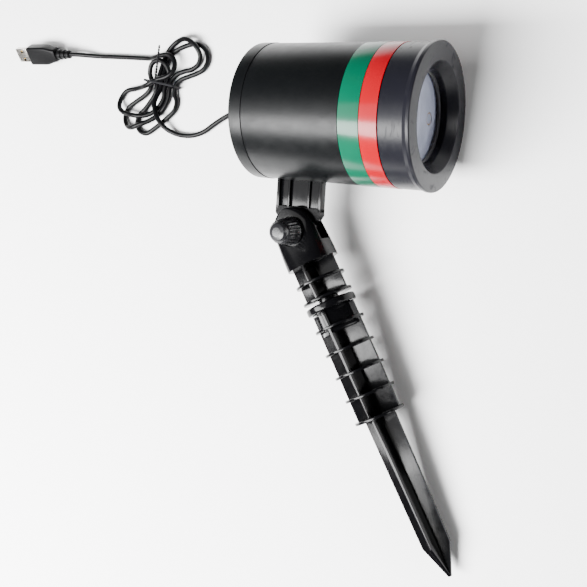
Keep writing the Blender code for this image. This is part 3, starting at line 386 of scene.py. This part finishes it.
def bevel_sharp(bm, width, angle=40, segments=2):
    """Round every edge sharper than the angle."""
    bmesh.ops.remove_doubles(bm, verts=bm.verts, dist=WELD)
    bmesh.ops.recalc_face_normals(bm, faces=bm.faces)
    sharp = [e for e in bm.edges if e.is_manifold and e.calc_face_angle(0) > math.radians(angle)]
    bmesh.ops.bevel(bm, geom=sharp, offset=width, segments=segments, profile=0.5, affect="EDGES",
                    material=-1, clamp_overlap=True)


def to_object(name, bm, place, material, sharp=SHARP_ANGLE):
    """Close a bmesh, put its place in its mesh, and link it with its material."""
    bmesh.ops.remove_doubles(bm, verts=bm.verts, dist=WELD)
    bmesh.ops.recalc_face_normals(bm, faces=bm.faces)
    bmesh.ops.transform(bm, matrix=place, verts=bm.verts)
    mesh = bpy.data.meshes.new(name)
    bm.to_mesh(mesh)
    bm.free()
    mesh.shade_smooth()
    mesh.set_sharp_from_angle(angle=math.radians(sharp))
    mesh.materials.append(MATERIALS[material])
    made = bpy.data.objects.new(name, mesh)
    bpy.context.scene.collection.objects.link(made)
    return made


def fit(made, body, slot, *nodes):
    """Ride on a body and stand for the CAD nodes named, which are hidden; the slot is not used."""
    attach(made, body)
    if nodes:
        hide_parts(*nodes)
    return made


def cut(made, tools):
    """Cut tools out with exact Booleans, applied so that only the result stays."""
    for tool in tools:
        step = made.modifiers.new(tool.name, "BOOLEAN")
        step.operation = "DIFFERENCE"
        step.solver = "EXACT"
        step.object = tool
    bpy.context.view_layer.update()
    result = bpy.data.meshes.new_from_object(made.evaluated_get(bpy.context.evaluated_depsgraph_get()))
    made.modifiers.clear()
    made.data = result
    for tool in tools:
        bpy.data.objects.remove(tool, do_unlink=True)
    result.shade_smooth()
    result.set_sharp_from_angle(angle=math.radians(SHARP_ANGLE))


def turned(name, profile, axis, place, material, sharp=SHARP_ANGLE, steps=48, centre=(0, 0, 0)):
    """An object turned from one profile."""
    bm = bmesh.new()
    spin_profile(bm, profile, axis, centre, steps)
    return to_object(name, bm, place, material, sharp)


def cutter(profile, axis, place, centre=(0, 0, 0), steps=48):
    return turned("cutter", profile, axis, place, "inner_plastic", steps=steps, centre=centre)


def box_cutter(low, high, place):
    bm = bmesh.new()
    cube_into(bm, low, high)
    return to_object("cutter", bm, place, "inner_plastic")


def rod(radius, start, end):
    return [(0, start), (radius, start), (radius, end), (0, end)]


# ---- camera --------------------------------------------------------------
class PROJECTOR_OT_camera(bpy.types.Operator):
    """Stand the camera above the lens end, with the stake towards the bottom of its view"""
    bl_idname = "projector.camera"
    bl_label = "Camera"

    def execute(self, context):
        sizes = context.scene.projector_sizes
        data = bpy.data.cameras.new("camera")
        data.lens = sizes.lens_mm
        data.sensor_width = 36.0
        data.clip_start = 0.01
        camera = bpy.data.objects.new("camera", data)
        context.scene.collection.objects.link(camera)
        camera.location = sizes.camera_place
        camera.rotation_euler = [math.radians(v) for v in sizes.camera_turn]
        context.scene.camera = camera
        return {"FINISHED"}


# ---- lead ----------------------------------------------------------------
def smooth_route(points, count):
    """Even points on a centripetal Catmull-Rom curve through the route."""
    knots = [Vector(p) * MM for p in points]
    knots = [2 * knots[0] - knots[1]] + knots + [2 * knots[-1] - knots[-2]]
    fine = []
    for a, b, c, d in zip(knots, knots[1:], knots[2:], knots[3:]):
        t1 = (b - a).length ** 0.5
        t2 = t1 + (c - b).length ** 0.5
        t3 = t2 + (d - c).length ** 0.5
        for step in range(12):
            t = t1 + (t2 - t1) * step / 12
            ab = a + (b - a) * (t / t1)
            bc = b + (c - b) * ((t - t1) / (t2 - t1))
            cd = c + (d - c) * ((t - t2) / (t3 - t2))
            abc = ab + (bc - ab) * (t / t2)
            bcd = bc + (cd - bc) * ((t - t1) / (t3 - t1))
            fine.append(abc + (bcd - abc) * ((t - t1) / (t2 - t1)))
    fine.append(knots[-2])
    run = [0.0]
    for a, b in zip(fine, fine[1:]):
        run.append(run[-1] + (b - a).length)
    even, index = [], 0
    for step in range(count):
        goal = run[-1] * step / (count - 1)
        while index < len(run) - 2 and run[index + 1] < goal:
            index += 1
        share = (goal - run[index]) / (run[index + 1] - run[index])
        even.append(fine[index].lerp(fine[index + 1], min(max(share, 0.0), 1.0)))
    return even, run[-1]


class PROJECTOR_OT_lead(bpy.types.Operator):
    """Lay the lead out of the gland, through the tie and on to the plug"""
    bl_idname = "projector.lead"
    bl_label = "Lead and tie"

    def execute(self, context):
        radius = context.scene.projector_sizes.cord_radius
        points, length = smooth_route(ROUTE, 520)
        curve = bpy.data.curves.new("lead", "CURVE")
        curve.dimensions = "3D"
        curve.bevel_depth = radius
        curve.bevel_resolution = 5
        curve.use_fill_caps = True
        spline = curve.splines.new("POLY")
        spline.points.add(len(points) - 1)
        for slot, point in zip(spline.points, points):
            slot.co = (*(REST @ point), 1.0)
        curve.materials.append(MATERIALS["cord"])
        lead = bpy.data.objects.new("lead", curve)
        context.scene.collection.objects.link(lead)
        fit(lead, "lamp", "cord", "usb_cord")
        with_pieces = [self.tie(), self.twist()] + make_plug()
        return {"FINISHED"}

    def tie(self):
        """Flat coated wire wrapped round the gathered strands."""
        low, high, corner = Vector((0, 0.2326, 0.00015)), Vector((0, 0.2648, 0.0108)), 0.0030
        middle = Vector((0.0252, (low.y + high.y) / 2, 0))
        place = REST @ Matrix.Translation(middle) @ Matrix.Rotation(math.radians(-9), 4, "Z")
        place = place @ Matrix.Translation(-middle)
        bm = bmesh.new()
        path = []
        for y, z, turn in ((high.y - corner, high.z - corner, 0), (low.y + corner, high.z - corner, 90),
                           (low.y + corner, low.z + corner, 180), (high.y - corner, low.z + corner, 270)):
            for step in range(9):
                angle = math.radians(turn + 11.25 * step)
                path.append((y, z, angle))
        section = rounded([(-0.0008, 0.0), (0.0008, 0.0), (0.0008, 0.0007), (-0.0008, 0.0007)],
                          {0: 0.0003, 1: 0.0003, 2: 0.0003, 3: 0.0003}, 3)
        loops = []
        for y, z, angle in path:
            ring = []
            for across, inset in section:
                reach = corner - inset
                ring.append(bm.verts.new((middle.x + across, y + reach * math.cos(angle),
                                          z + reach * math.sin(angle))))
            loops.append([bm.edges.new(pair) for pair in zip(ring, ring[1:] + ring[:1])])
        for first, second in zip(loops, loops[1:] + loops[:1]):
            bmesh.ops.bridge_loops(bm, edges=first + second)
        return fit(to_object("tie_band", bm, place, "tie"), "lamp", "tie", "cord_tie")

    def twist(self):
        """The tie's two ends, twisted together and laid over."""
        bm = bmesh.new()
        steps = 96
        for phase in (0, math.pi):
            centre = Vector((0.0283, 0.2502, 0.0120))
            arm = Vector((0, math.cos(phase), math.sin(phase))) * 0.00045
            matrix = Matrix.Translation(centre + arm) @ Matrix.Rotation(math.pi / 2, 4, "Y")
            ring = bmesh.ops.create_circle(bm, segments=10, radius=0.00048, cap_ends=False, matrix=matrix)
            edges = list({e for v in ring["verts"] for e in v.link_edges})
            bmesh.ops.spin(bm, geom=ring["verts"] + edges, cent=centre, axis=(1, 0, 0),
                           dvec=(0.0255 / steps, 0, 0), angle=math.tau * 6, steps=steps,
                           use_merge=False, use_duplicate=False)
        holes = [e for e in bm.edges if e.is_boundary]
        bmesh.ops.holes_fill(bm, edges=holes)
        return fit(to_object("tie_ends", bm, REST, "tie", 60), "lamp", "tie", "tie_twist")


def soft_box_ring(half_w, half_t, radius, station, steps=6):
    ring = []
    for sign_w, sign_t, turn in ((1, 1, 0), (-1, 1, 90), (-1, -1, 180), (1, -1, 270)):
        for step in range(steps + 1):
            angle = math.radians(turn + 90 * step / steps)
            ring.append(Vector((sign_w * (half_w - radius) + radius * math.cos(angle), station,
                                sign_t * (half_t - radius) + radius * math.sin(angle))))
    return ring


def make_plug():
    """USB-A plug: ribbed relief, tapered overmould, folded shell and its contacts."""
    bore = 0.0022
    ribs = []
    for index in range(3):
        start = 0.0045 * index
        radius = 0.0034 + 0.0004 * index
        ribs += [(radius, start), (radius, start + 0.0030), (radius - 0.0008, start + 0.0031),
                 (radius - 0.0008, start + 0.0045)]
    profile = rounded([(bore, 0.0), *ribs, (bore, 0.0135)], {i: 0.0005 for i in range(1, 13)}, 3)
    relief = fit(turned("plug_relief", profile, "Y", PLUG, "pvc", 50), "lamp", "pvc", "usb_strain_relief")

    stations = ((0.0050, 0.0038, 0.0016, 0.0145), (0.0053, 0.0041, 0.0018, 0.0150),
                (0.0056, 0.0043, 0.0018, 0.0170), (0.0066, 0.0045, 0.0018, 0.0210),
                (0.0075, 0.0047, 0.0018, 0.0245), (0.0078, 0.0048, 0.0018, 0.0275),
                (0.0078, 0.0048, 0.0018, 0.0438), (0.0077, 0.0047, 0.0018, 0.0445),
                (0.0074, 0.0044, 0.0016, 0.0450))
    bm = bmesh.new()
    bridge_rings(bm, [soft_box_ring(w, t, r, s) for w, t, r, s in stations])
    mould = fit(to_object("plug_overmould", bm, PLUG, "pvc", 50), "lamp", "pvc", "usb_overmould")

    bm = bmesh.new()
    cube_into(bm, (-0.0060, 0.0453, -0.00225), (0.0060, 0.0603, 0.00225))
    bevel_sharp(bm, 0.0006, segments=3)
    shell = to_object("plug_shell", bm, PLUG, "nickel")
    hollow = box_cutter((-0.0057, 0.0456, -0.00195), (0.0057, 0.0620, 0.00195), PLUG)
    windows = [box_cutter((x, 0.0520, -0.0040), (x + 0.0025, 0.0545, 0.0040), PLUG)
               for x in (-0.0047, 0.0022)]
    cut(shell, [hollow] + windows)
    fit(shell, "lamp", "nickel", "usb_shell")

    bm = bmesh.new()
    cube_into(bm, (-0.0054, 0.0459, -0.0016), (0.0054, 0.0598, 0.0))
    bevel_sharp(bm, 0.0002)
    carrier = fit(to_object("plug_carrier", bm, PLUG, "inner_plastic"), "lamp", "inner_plastic",
                  "usb_contacts")
    bm = bmesh.new()
    for x in (-0.0035, -0.0010, 0.0010, 0.0035):
        cube_into(bm, (x - 0.0005, 0.0480, -0.0001), (x + 0.0005, 0.0590, 0.0002))
    bevel_sharp(bm, 0.0001)
    contacts = fit(to_object("plug_contacts", bm, PLUG, "gold"), "lamp", "inner_plastic")
    return [relief, mould, shell, carrier, contacts]


# ---- lamp head -----------------------------------------------------------
class PROJECTOR_OT_barrel(bpy.types.Operator):
    """Turn the barrel, its two film bands and the front bezel"""
    bl_idname = "projector.barrel"
    bl_label = "Barrel, bands and bezel"

    def execute(self, context):
        edge = context.scene.projector_sizes.edge
        profile = rounded([(0.0333, 0.0), (0.0450, 0.0), (0.0450, 0.0022), (0.0440, 0.0048),
                           (0.0440, 0.0199), (0.0425, 0.0199), (0.0425, 0.0028), (0.0352, 0.0028),
                           (0.0338, 0.0044), (0.0338, 0.0199), (0.0313, 0.0199), (0.0313, 0.0103),
                           (0.0282, 0.0103), (0.0282, 0.0060)],
                          {0: 0.0012, 1: 0.0009, 2: 0.0016, 3: 0.0016, 4: 0.0003, 13: 0.0008, 12: 0.0003}, 6)
        fit(turned("bezel", profile, "Y", HEAD, "bezel", 30, 180), "lamp", "bezel", "front_bezel")

        for colour, start, end in (("red", 0.0204, 0.03185), ("green", 0.03215, 0.0457)):
            profile = rounded([(0.0435, start), (0.0442, start), (0.0442, end), (0.0435, end)],
                              {1: 0.0002, 2: 0.0002}, 3)
            film = colour + "_film"
            fit(turned(film + "_band", profile, "Y", HEAD, film, 30, 180), "lamp", film, colour + "_band")

        profile = rounded([(0.0422, 0.0080), (0.0422, 0.0202), (0.0432, 0.0202), (0.0432, 0.0460),
                           (0.0439, 0.0460), (0.0439, 0.1142), (0.0416, 0.1142), (0.0416, 0.0450),
                           (0.0355, 0.0450), (0.0355, 0.0383), (0.0409, 0.0383), (0.0409, 0.0080)],
                          {4: 0.0003, 5: edge}, 4)
        fit(turned("barrel", profile, "Y", HEAD, "housing", 30, 180), "lamp", "housing", "housing")
        return {"FINISHED"}


class PROJECTOR_OT_lens(bpy.types.Operator):
    """Set the window, its gasket and the aperture plate in the bezel"""
    bl_idname = "projector.lens"
    bl_label = "Window and apertures"

    def execute(self, context):
        profile = rounded([(0.0, 0.0130), (0.0310, 0.0130), (0.0310, 0.0145), (0.0, 0.0145)],
                          {1: 0.0003, 2: 0.0003}, 3)
        fit(turned("window", profile, "Y", HEAD, "glass", 30, 128), "lamp", "glass", "window_glass")

        profile = rounded([(0.0275, 0.0106), (0.0310, 0.0106), (0.0310, 0.0127), (0.0275, 0.0127)],
                          {0: 0.0006, 3: 0.0006}, 4)
        gasket = turned("window_gasket", profile, "Y", HEAD, "soft_grey", 40, 128)
        fit(gasket, "lamp", "soft_grey", "lens_gasket")

        plate = turned("aperture_disc", rod(0.0310, 0.0148, 0.0168), "Y", HEAD, "plate", steps=128)
        holes = [cutter(rod(0.0042, 0.0130, 0.0180), "Y", HEAD, (0, 0, side * MODULE_OFFSET))
                 for side in (1, -1)]
        cut(plate, holes)
        fit(plate, "lamp", "plate", "aperture_plate")

        bm = bmesh.new()
        for side in (1, -1):
            spin_profile(bm, [(0, 0.0148), (0.0018, 0.0149), (0.0031, 0.0151), (0.0034, 0.0153),
                              (0.0034, 0.0158), (0, 0.0158)], "Y", (0, 0, side * MODULE_OFFSET), 40)
        fit(to_object("module_lenses", bm, HEAD, "plate", 50), "lamp", "plate")
        return {"FINISHED"}


class PROJECTOR_OT_rear(bpy.types.Operator):
    """Close the barrel with its cover, button, gland and screws"""
    bl_idname = "projector.rear"
    bl_label = "Rear cover"

    def execute(self, context):
        profile = rounded([(0.0442, 0.1143), (0.0442, 0.1235), (0.0044, 0.1235), (0.0044, 0.1205),
                           (0.0398, 0.1205), (0.0398, 0.1115), (0.0413, 0.1115), (0.0413, 0.1143)],
                          {0: 0.0002, 1: 0.0009}, 6)
        cover = turned("rear_shell", profile, "Y", HEAD, "housing", steps=180)
        reach = SCREW_CIRCLE * math.cos(math.radians(45))
        places = [(x, 0, z) for x in (-reach, reach) for z in (-reach, reach)]
        tools = [cutter(rod(0.0032, 0.1219, 0.1250), "Y", HEAD, place) for place in places]
        tools += [cutter(rod(0.0016, 0.1190, 0.1225), "Y", HEAD, place, 24) for place in places]
        tools.append(cutter(rod(0.0049, 0.1190, 0.1250), "Y", HEAD, (BUTTON_OFFSET, 0, 0), 64))
        cut(cover, tools)
        fit(cover, "lamp", "rear", "rear_cover")

        button = (BUTTON_OFFSET, 0, 0)
        profile = rounded([(0, 0.1180), (0.0045, 0.1180), (0.0045, 0.1187), (0.0062, 0.1187),
                           (0.0062, 0.1200), (0.0045, 0.1200), (0.0045, 0.1258), (0, 0.1258)],
                          {6: 0.0010}, 5)
        cap = turned("button_cap", profile, "Y", HEAD, "soft_grey", 40, 64, button)
        fit(cap, "button", "soft_grey", "push_button")

        ribs = []
        for index in range(5):
            start = 0.1262 + 0.0022 * index
            radius = 0.0049 - 0.00024 * index
            ribs += [(radius, start), (radius, start + 0.0014), (radius - 0.0006, start + 0.0015),
                     (radius - 0.0006, start + 0.0021)]
        profile = rounded([(0.0022, 0.1186), (0.0065, 0.1186), (0.0065, 0.1202), (0.0041, 0.1202),
                           (0.0041, 0.1238), (0.0062, 0.1238), (0.0060, 0.1258), *ribs,
                           (0.0036, 0.1380), (0.0022, 0.1380)], {i: 0.0004 for i in range(5, 28)}, 3)
        fit(turned("lead_gland", profile, "Y", HEAD, "pvc", 50), "lamp", "pvc", "cord_gland")

        for number in range(1, 5):
            self.screw(number)
        return {"FINISHED"}

    def screw(self, number):
        """Pan head screw with a cross recess, sunk in the cover."""
        owner = "rear_screw_%d" % number
        low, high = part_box(owner)
        centre = HEAD.inverted() @ ((low + high) / 2)
        centre.y = 0
        profile = rounded([(0, 0.1000), (0.0012, 0.1000), (0.0012, 0.1222), (0.0029, 0.1222),
                           (0.0029, 0.1235), (0, 0.1235)], {4: 0.0008, 3: 0.0002}, 4)
        made = turned("cover_screw_%d" % number, profile, "Y", HEAD, "steel", steps=40, centre=centre)
        tools = []
        for half_x, half_z in ((0.0016, 0.0003), (0.0003, 0.0016)):
            tools.append(box_cutter((centre.x - half_x, 0.1225, centre.z - half_z),
                                    (centre.x + half_x, 0.1240, centre.z + half_z), HEAD))
        cut(made, tools)
        fit(made, "lamp", "steel", owner)


# ---- bracket, stake and spike --------------------------------------------
class PROJECTOR_OT_bracket(bpy.types.Operator):
    """Shape the ribbed plate between the barrel and the hinge"""
    bl_idname = "projector.bracket"
    bl_label = "Bracket"

    def execute(self, context):
        edge = context.scene.projector_sizes.edge
        half, depth, web = 0.0171, 0.0030, 0.0010
        y = HINGE.y
        bm = bmesh.new()
        cube_into(bm, (-0.0690, y - half + 0.0010, -web), (-0.0390, y + half - 0.0010, web))
        for low, high in ((-half, -half + 0.0022), (-0.0084, -0.0068), (0.0068, 0.0084),
                          (half - 0.0022, half)):
            cube_into(bm, (-0.0640, y + low, -depth), (-0.0390, y + high, depth))
        cube_into(bm, (-0.0406, y - half - 0.0016, -0.0075), (-0.0376, y + half + 0.0016, 0.0075))
        bevel_sharp(bm, edge)
        outline = [(-0.0615, y - half), (HINGE.x + 0.0108, y - half), (HINGE.x, y - 0.0095),
                   (HINGE.x, y + 0.0095), (HINGE.x + 0.0108, y + half), (-0.0615, y + half)]
        extrude(bm, [(px, py, -depth) for px, py in outline], (0, 0, 2 * depth))
        spin_profile(bm, rounded([(0, -0.0050), (0.0135, -0.0050), (0.0135, 0.0050), (0, 0.0050)],
                                 {1: 0.0005, 2: 0.0005}, 3), "Z", HINGE, 96)
        fit(to_object("ribbed_bracket", bm, HEAD, "stake"), "lamp", "stake", "bracket")
        return {"FINISHED"}


def superellipse(half_u, half_z, power, count=96):
    ring = []
    for index in range(count):
        angle = math.tau * index / count
        c, s = math.cos(angle), math.sin(angle)
        ring.append((math.copysign(abs(c) ** (2 / power), c) * half_u,
                     math.copysign(abs(s) ** (2 / power), s) * half_z))
    return ring


def cross_ring(station, half_u, half_z, thickness):
    h, k, t = half_u, half_z, thickness / 2
    plus = [(h, -t), (h, t), (t, t), (t, k), (-t, k), (-t, t), (-h, t), (-h, -t), (-t, -t), (-t, -k),
            (t, -k), (t, -t)]
    return [Vector((station, u, z)) for u, z in plus]


def flange_profile(station, radius=RING_RADIUS, half=0.0009):
    return rounded(rod(radius, station - half, station + half), {1: 0.0004, 2: 0.0004}, 3)


class PROJECTOR_OT_stake(bpy.types.Operator):
    """Shape the clevis, the finned sections, the latch collar and the spike"""
    bl_idname = "projector.stake"
    bl_label = "Stake"

    def execute(self, context):
        self.edge = context.scene.projector_sizes.edge
        self.upper()
        self.collar()
        self.spike()
        return {"FINISHED"}

    def upper(self):
        stations = [-HOOD_RADIUS * math.cos(math.radians(a)) for a in range(3, 90, 6)]
        stations += [0.004, 0.009, 0.014, 0.019, HOOD_END]
        rings = []
        for s in stations:
            down = max(s, 0.0) / HOOD_END
            half_u = math.sqrt(max(HOOD_RADIUS ** 2 - min(s, 0.0) ** 2, 0.0)) + 0.0012 * down
            half_z = 0.0098 + 0.0060 * down ** 1.3
            rings.append([Vector((s, u, z)) for u, z in superellipse(half_u, half_z, 5.0 - 2.4 * down)])
        bm = bmesh.new()
        bridge_rings(bm, rings)
        hood = to_object("clevis", bm, STAKE, "stake")
        bm = bmesh.new()
        cube_into(bm, (-0.0200, -0.0250, -SLOT_HALF), (0.0134, 0.0250, SLOT_HALF))
        slot = to_object("cutter", bm, STAKE, "stake")
        well = cutter(rod(0.0141, -SLOT_HALF, SLOT_HALF), "Z", STAKE, steps=72)
        spot = cutter(rod(0.0104, 0.0094, 0.0200), "Z", STAKE, steps=72)
        bore = cutter(rod(0.0028, -0.0200, 0.0200), "Z", STAKE)
        pocket = cutter(rod(0.0050, -0.0120, -0.0067), "Z", STAKE, steps=6)
        cut(hood, [slot, well, spot, bore, pocket])
        soften = hood.modifiers.new("soft_edges", "BEVEL")
        soften.width = self.edge
        soften.segments = 3
        soften.limit_method = "ANGLE"
        soften.angle_limit = math.radians(40)
        fit(hood, "stake", "stake", "stake_head")

        bm = bmesh.new()
        bridge_rings(bm, [cross_ring(s, FIN_HALF, 0.0150, FIN_THICKNESS) for s in (0.0238, 0.0490)])
        bevel_sharp(bm, 0.0004)
        for station in (0.0367, 0.0486):
            spin_profile(bm, flange_profile(station), "X", steps=96)
        spin_profile(bm, rod(0.0070, 0.0482, 0.0652), "X", steps=64)
        fit(to_object("upper_flanges", bm, STAKE, "stake"), "stake", "stake")

    def strips(self, bm, inner, outer, side, start, end):
        """A strip across each quadrant between two diagonal lines."""
        for u_sign, z_sign in ((1, 1), (-1, 1), (-1, -1), (1, -1)):
            corners = ((side, inner - side), (inner - side, side), (outer - side, side),
                       (side, outer - side))
            extrude(bm, [(start, u * u_sign, z * z_sign) for u, z in corners], (end - start, 0, 0))

    def collar(self):
        bm = bmesh.new()
        self.strips(bm, 0.0124, 0.0150, 0.0016, 0.0560, 0.0728)
        self.strips(bm, 0.0138, 0.0168, 0.0016, 0.0696, 0.0726)
        bevel_sharp(bm, 0.0004)
        profile = rounded([(0.0073, 0.0520), (RING_RADIUS, 0.0520), (RING_RADIUS, 0.0570),
                           (0.0073, 0.0570)], {1: 0.0014, 2: 0.0014, 0: 0.0004, 3: 0.0004}, 6)
        spin_profile(bm, profile, "X", steps=96)
        fit(to_object("latch_ring", bm, STAKE, "stake"), "stake", "stake", "latch_collar")

    def spike(self):
        bm = bmesh.new()
        bridge_rings(bm, [cross_ring(s, FIN_HALF, 0.0155, FIN_THICKNESS) for s in (0.0573, 0.0600, 0.1326)])
        blade = [(0.1322, 0.0115), (0.1770, 0.0109), (0.2217, 0.0102), (0.2411, 0.0016), (0.2427, 0.0012)]
        bridge_rings(bm, [cross_ring(s, h, h, min(FIN_THICKNESS, 1.3 * h)) for s, h in blade])
        bevel_sharp(bm, 0.0004, 18)
        for station in (0.0848, 0.1008, 0.1169, 0.1326):
            spin_profile(bm, flange_profile(station), "X", steps=96)
        spin_profile(bm, rounded([(0.0073, 0.0573), (0.0084, 0.0573), (0.0084, 0.0684), (0.0073, 0.0684)],
                                 {0: 0.0003, 1: 0.0003}, 3), "X", steps=64)
        spike = to_object("finned_spike", bm, STAKE, "stake")
        notched = turned("notched_flange", flange_profile(0.0684), "X", STAKE, "stake", steps=96)
        ways = bmesh.new()
        self.strips(ways, 0.0119, 0.0173, 0.0012, 0.0650, 0.0720)
        cut(notched, [to_object("cutter", ways, STAKE, "stake")])
        fit(spike, "spike", "stake", "stake_spike")
        fit(notched, "spike", "stake")


class PROJECTOR_OT_thumbscrew(bpy.types.Operator):
    """Shape the fluted knob with its bolt, washer and nut"""
    bl_idname = "projector.thumbscrew"
    bl_label = "Thumbscrew"

    def execute(self, context):
        flutes = 20
        bm = bmesh.new()
        profile = rounded([(0, 0.0112), (0.0092, 0.0112), (0.0092, 0.0126), (0.0089, 0.0130),
                           (0.0079, 0.0236), (0.0068, 0.0242), (0.0066, 0.0262), (0.0054, 0.0275),
                           (0.0030, 0.0282), (0, 0.0283)],
                          {1: 0.0004, 2: 0.0003, 4: 0.0005, 5: 0.0004, 6: 0.0006, 7: 0.0010, 8: 0.0012}, 4)
        spin_profile(bm, profile, "Z", steps=flutes * 10)
        bmesh.ops.remove_doubles(bm, verts=bm.verts, dist=WELD)
        long_edges = [e for e in bm.edges if abs(e.verts[0].co.z - e.verts[1].co.z) > 0.006]
        bmesh.ops.subdivide_edges(bm, edges=long_edges, cuts=6, use_grid_fill=True)
        for vert in bm.verts:
            reach = math.hypot(vert.co.x, vert.co.y)
            if 0.0128 < vert.co.z < 0.0238 and reach > 0.0070:
                angle = math.atan2(vert.co.y, vert.co.x)
                wave = 0.5 - 0.5 * math.cos(angle * flutes)
                fade = min(1.0, (vert.co.z - 0.0128) / 0.0008, (0.0238 - vert.co.z) / 0.0008)
                scale = 1 - 0.0007 * wave ** 1.5 * fade / reach
                vert.co.x *= scale
                vert.co.y *= scale
        fit(to_object("fluted_knob", bm, STAKE, "knob", 50), "thumbscrew", "knob", "thumb_knob")

        profile = rounded([(0.0028, 0.0097), (0.0082, 0.0097), (0.0082, 0.0109), (0.0028, 0.0109)],
                          {i: 0.0003 for i in range(4)}, 3)
        fit(turned("plain_washer", profile, "Z", STAKE, "steel", steps=64), "stake", "steel", "clamp_washer")

        threads = []
        for index in range(24):
            z = -0.0112 + 0.0008 * index
            threads += [(0.00215, z), (0.0024, z + 0.0004)]
        profile = [(0, -0.0114), (0.0018, -0.0114)] + threads + [(0.0024, 0.0202), (0, 0.0202)]
        bolt = turned("threaded_bolt", profile, "Z", STAKE, "steel", 50, 32)
        fit(bolt, "thumbscrew", "steel", "clamp_bolt")

        bm = bmesh.new()
        profile = [(0.0027, -0.0096), (0.0046, -0.0096), (0.0046, -0.0070), (0.0027, -0.0070)]
        spin_profile(bm, profile, "Z", steps=6)
        bevel_sharp(bm, 0.0002, 30)
        fit(to_object("hexagon_nut", bm, STAKE, "steel"), "stake", "steel", "hex_nut")
        return {"FINISHED"}


class PROJECTOR_OT_inside(bpy.types.Operator):
    """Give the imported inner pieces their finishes"""
    bl_idname = "projector.inside"
    bl_label = "Inner pieces"

    def execute(self, context):
        finishes = {"green_laser_module": "brass", "red_laser_module": "brass", "laser_holder": "aluminium",
                    "circuit_board": "board", "board_capacitor": "steel", "switch_body": "inner_plastic",
                    "lens_retainer": "inner_plastic"}
        for name, piece in frame["nodes"].items():
            finish = finishes.get(name)
            if finish is None and "screw" in name:
                finish = "steel"
            if finish is None:
                continue
            piece.data.materials.clear()
            piece.data.materials.append(MATERIALS[finish])
        return {"FINISHED"}


# ---- stage ---------------------------------------------------------------
def soft_light(name, place, target, size, power):
    data = bpy.data.lights.new(name, "AREA")
    data.shape = "RECTANGLE"
    data.size, data.size_y = size
    data.energy = power
    light = bpy.data.objects.new(name, data)
    bpy.context.scene.collection.objects.link(light)
    light.location = place
    light.rotation_euler = (Vector(target) - Vector(place)).to_track_quat("-Z", "Y").to_euler()


class PROJECTOR_OT_stage(bpy.types.Operator):
    """Lay a plain pale floor under soft studio light"""
    bl_idname = "projector.stage"
    bl_label = "Stage"

    def execute(self, context):
        bm = bmesh.new()
        bmesh.ops.create_grid(bm, x_segments=1, y_segments=1, size=6.0)
        mesh = bpy.data.meshes.new("floor")
        bm.to_mesh(mesh)
        bm.free()
        floor = bpy.data.objects.new("floor", mesh)
        context.scene.collection.objects.link(floor)
        floor.location.z = -0.0005
        paper = bpy.data.materials.new("white_paper")
        paper.use_nodes = True
        shader = paper.node_tree.nodes["Principled BSDF"]
        feed(paper.node_tree, shader, {"Base Color": (0.92, 0.92, 0.92, 1.0), "Roughness": 0.9,
                                       "Specular IOR Level": 0.0})
        mesh.materials.append(paper)

        world = bpy.data.worlds.new("studio")
        context.scene.world = world
        world.use_nodes = True
        background = world.node_tree.nodes["Background"]
        feed(world.node_tree, background, {"Color": (1.0, 1.0, 1.0, 1.0), "Strength": 0.07})

        soft_light("key_box", (-0.54, 0.62, 1.05), (-0.54, 0.62, 0.0), (0.54, 1.3), 150.0)
        soft_light("side_box", (-0.02, 0.62, 1.05), (-0.02, 0.62, 0.0), (0.50, 1.3), 9.0)
        soft_light("front_box", (0.25, -1.30, 0.50), (0.10, -0.05, 0.04), (0.4, 0.4), 9.0)
        return {"FINISHED"}


class PROJECTOR_PT_panel(bpy.types.Panel):
    """Steps of the projector, in order"""
    bl_idname = "PROJECTOR_PT_panel"
    bl_label = "Light projector stake"
    bl_space_type = "VIEW_3D"
    bl_region_type = "UI"
    bl_category = "Projector"

    def draw(self, context):
        layout = self.layout
        for group in (context.scene.projector_finishes, context.scene.projector_sizes):
            for name in group.__annotations__:
                layout.prop(group, name)
        for step in STEPS:
            layout.operator(step.bl_idname)


STEPS = (PROJECTOR_OT_camera, PROJECTOR_OT_lead, PROJECTOR_OT_barrel, PROJECTOR_OT_lens, PROJECTOR_OT_rear,
         PROJECTOR_OT_bracket, PROJECTOR_OT_stake, PROJECTOR_OT_thumbscrew, PROJECTOR_OT_inside,
         PROJECTOR_OT_stage)
CLASSES = (ProjectorFinishes, ProjectorSizes) + STEPS + (PROJECTOR_PT_panel,)


def register():
    for item in CLASSES:
        bpy.utils.register_class(item)
    bpy.types.Scene.projector_finishes = PointerProperty(type=ProjectorFinishes)
    bpy.types.Scene.projector_sizes = PointerProperty(type=ProjectorSizes)


def unregister():
    del bpy.types.Scene.projector_finishes
    del bpy.types.Scene.projector_sizes
    for item in reversed(CLASSES):
        bpy.utils.unregister_class(item)


def main():
    register()
    make_materials()
    bpy.ops.projector.camera()
    bpy.ops.projector.lead()
    bpy.ops.projector.barrel()
    bpy.ops.projector.lens()
    bpy.ops.projector.rear()
    bpy.ops.projector.bracket()
    bpy.ops.projector.stake()
    bpy.ops.projector.thumbscrew()
    bpy.ops.projector.inside()
    bpy.ops.projector.stage()


if __name__ == "__main__":
    main()
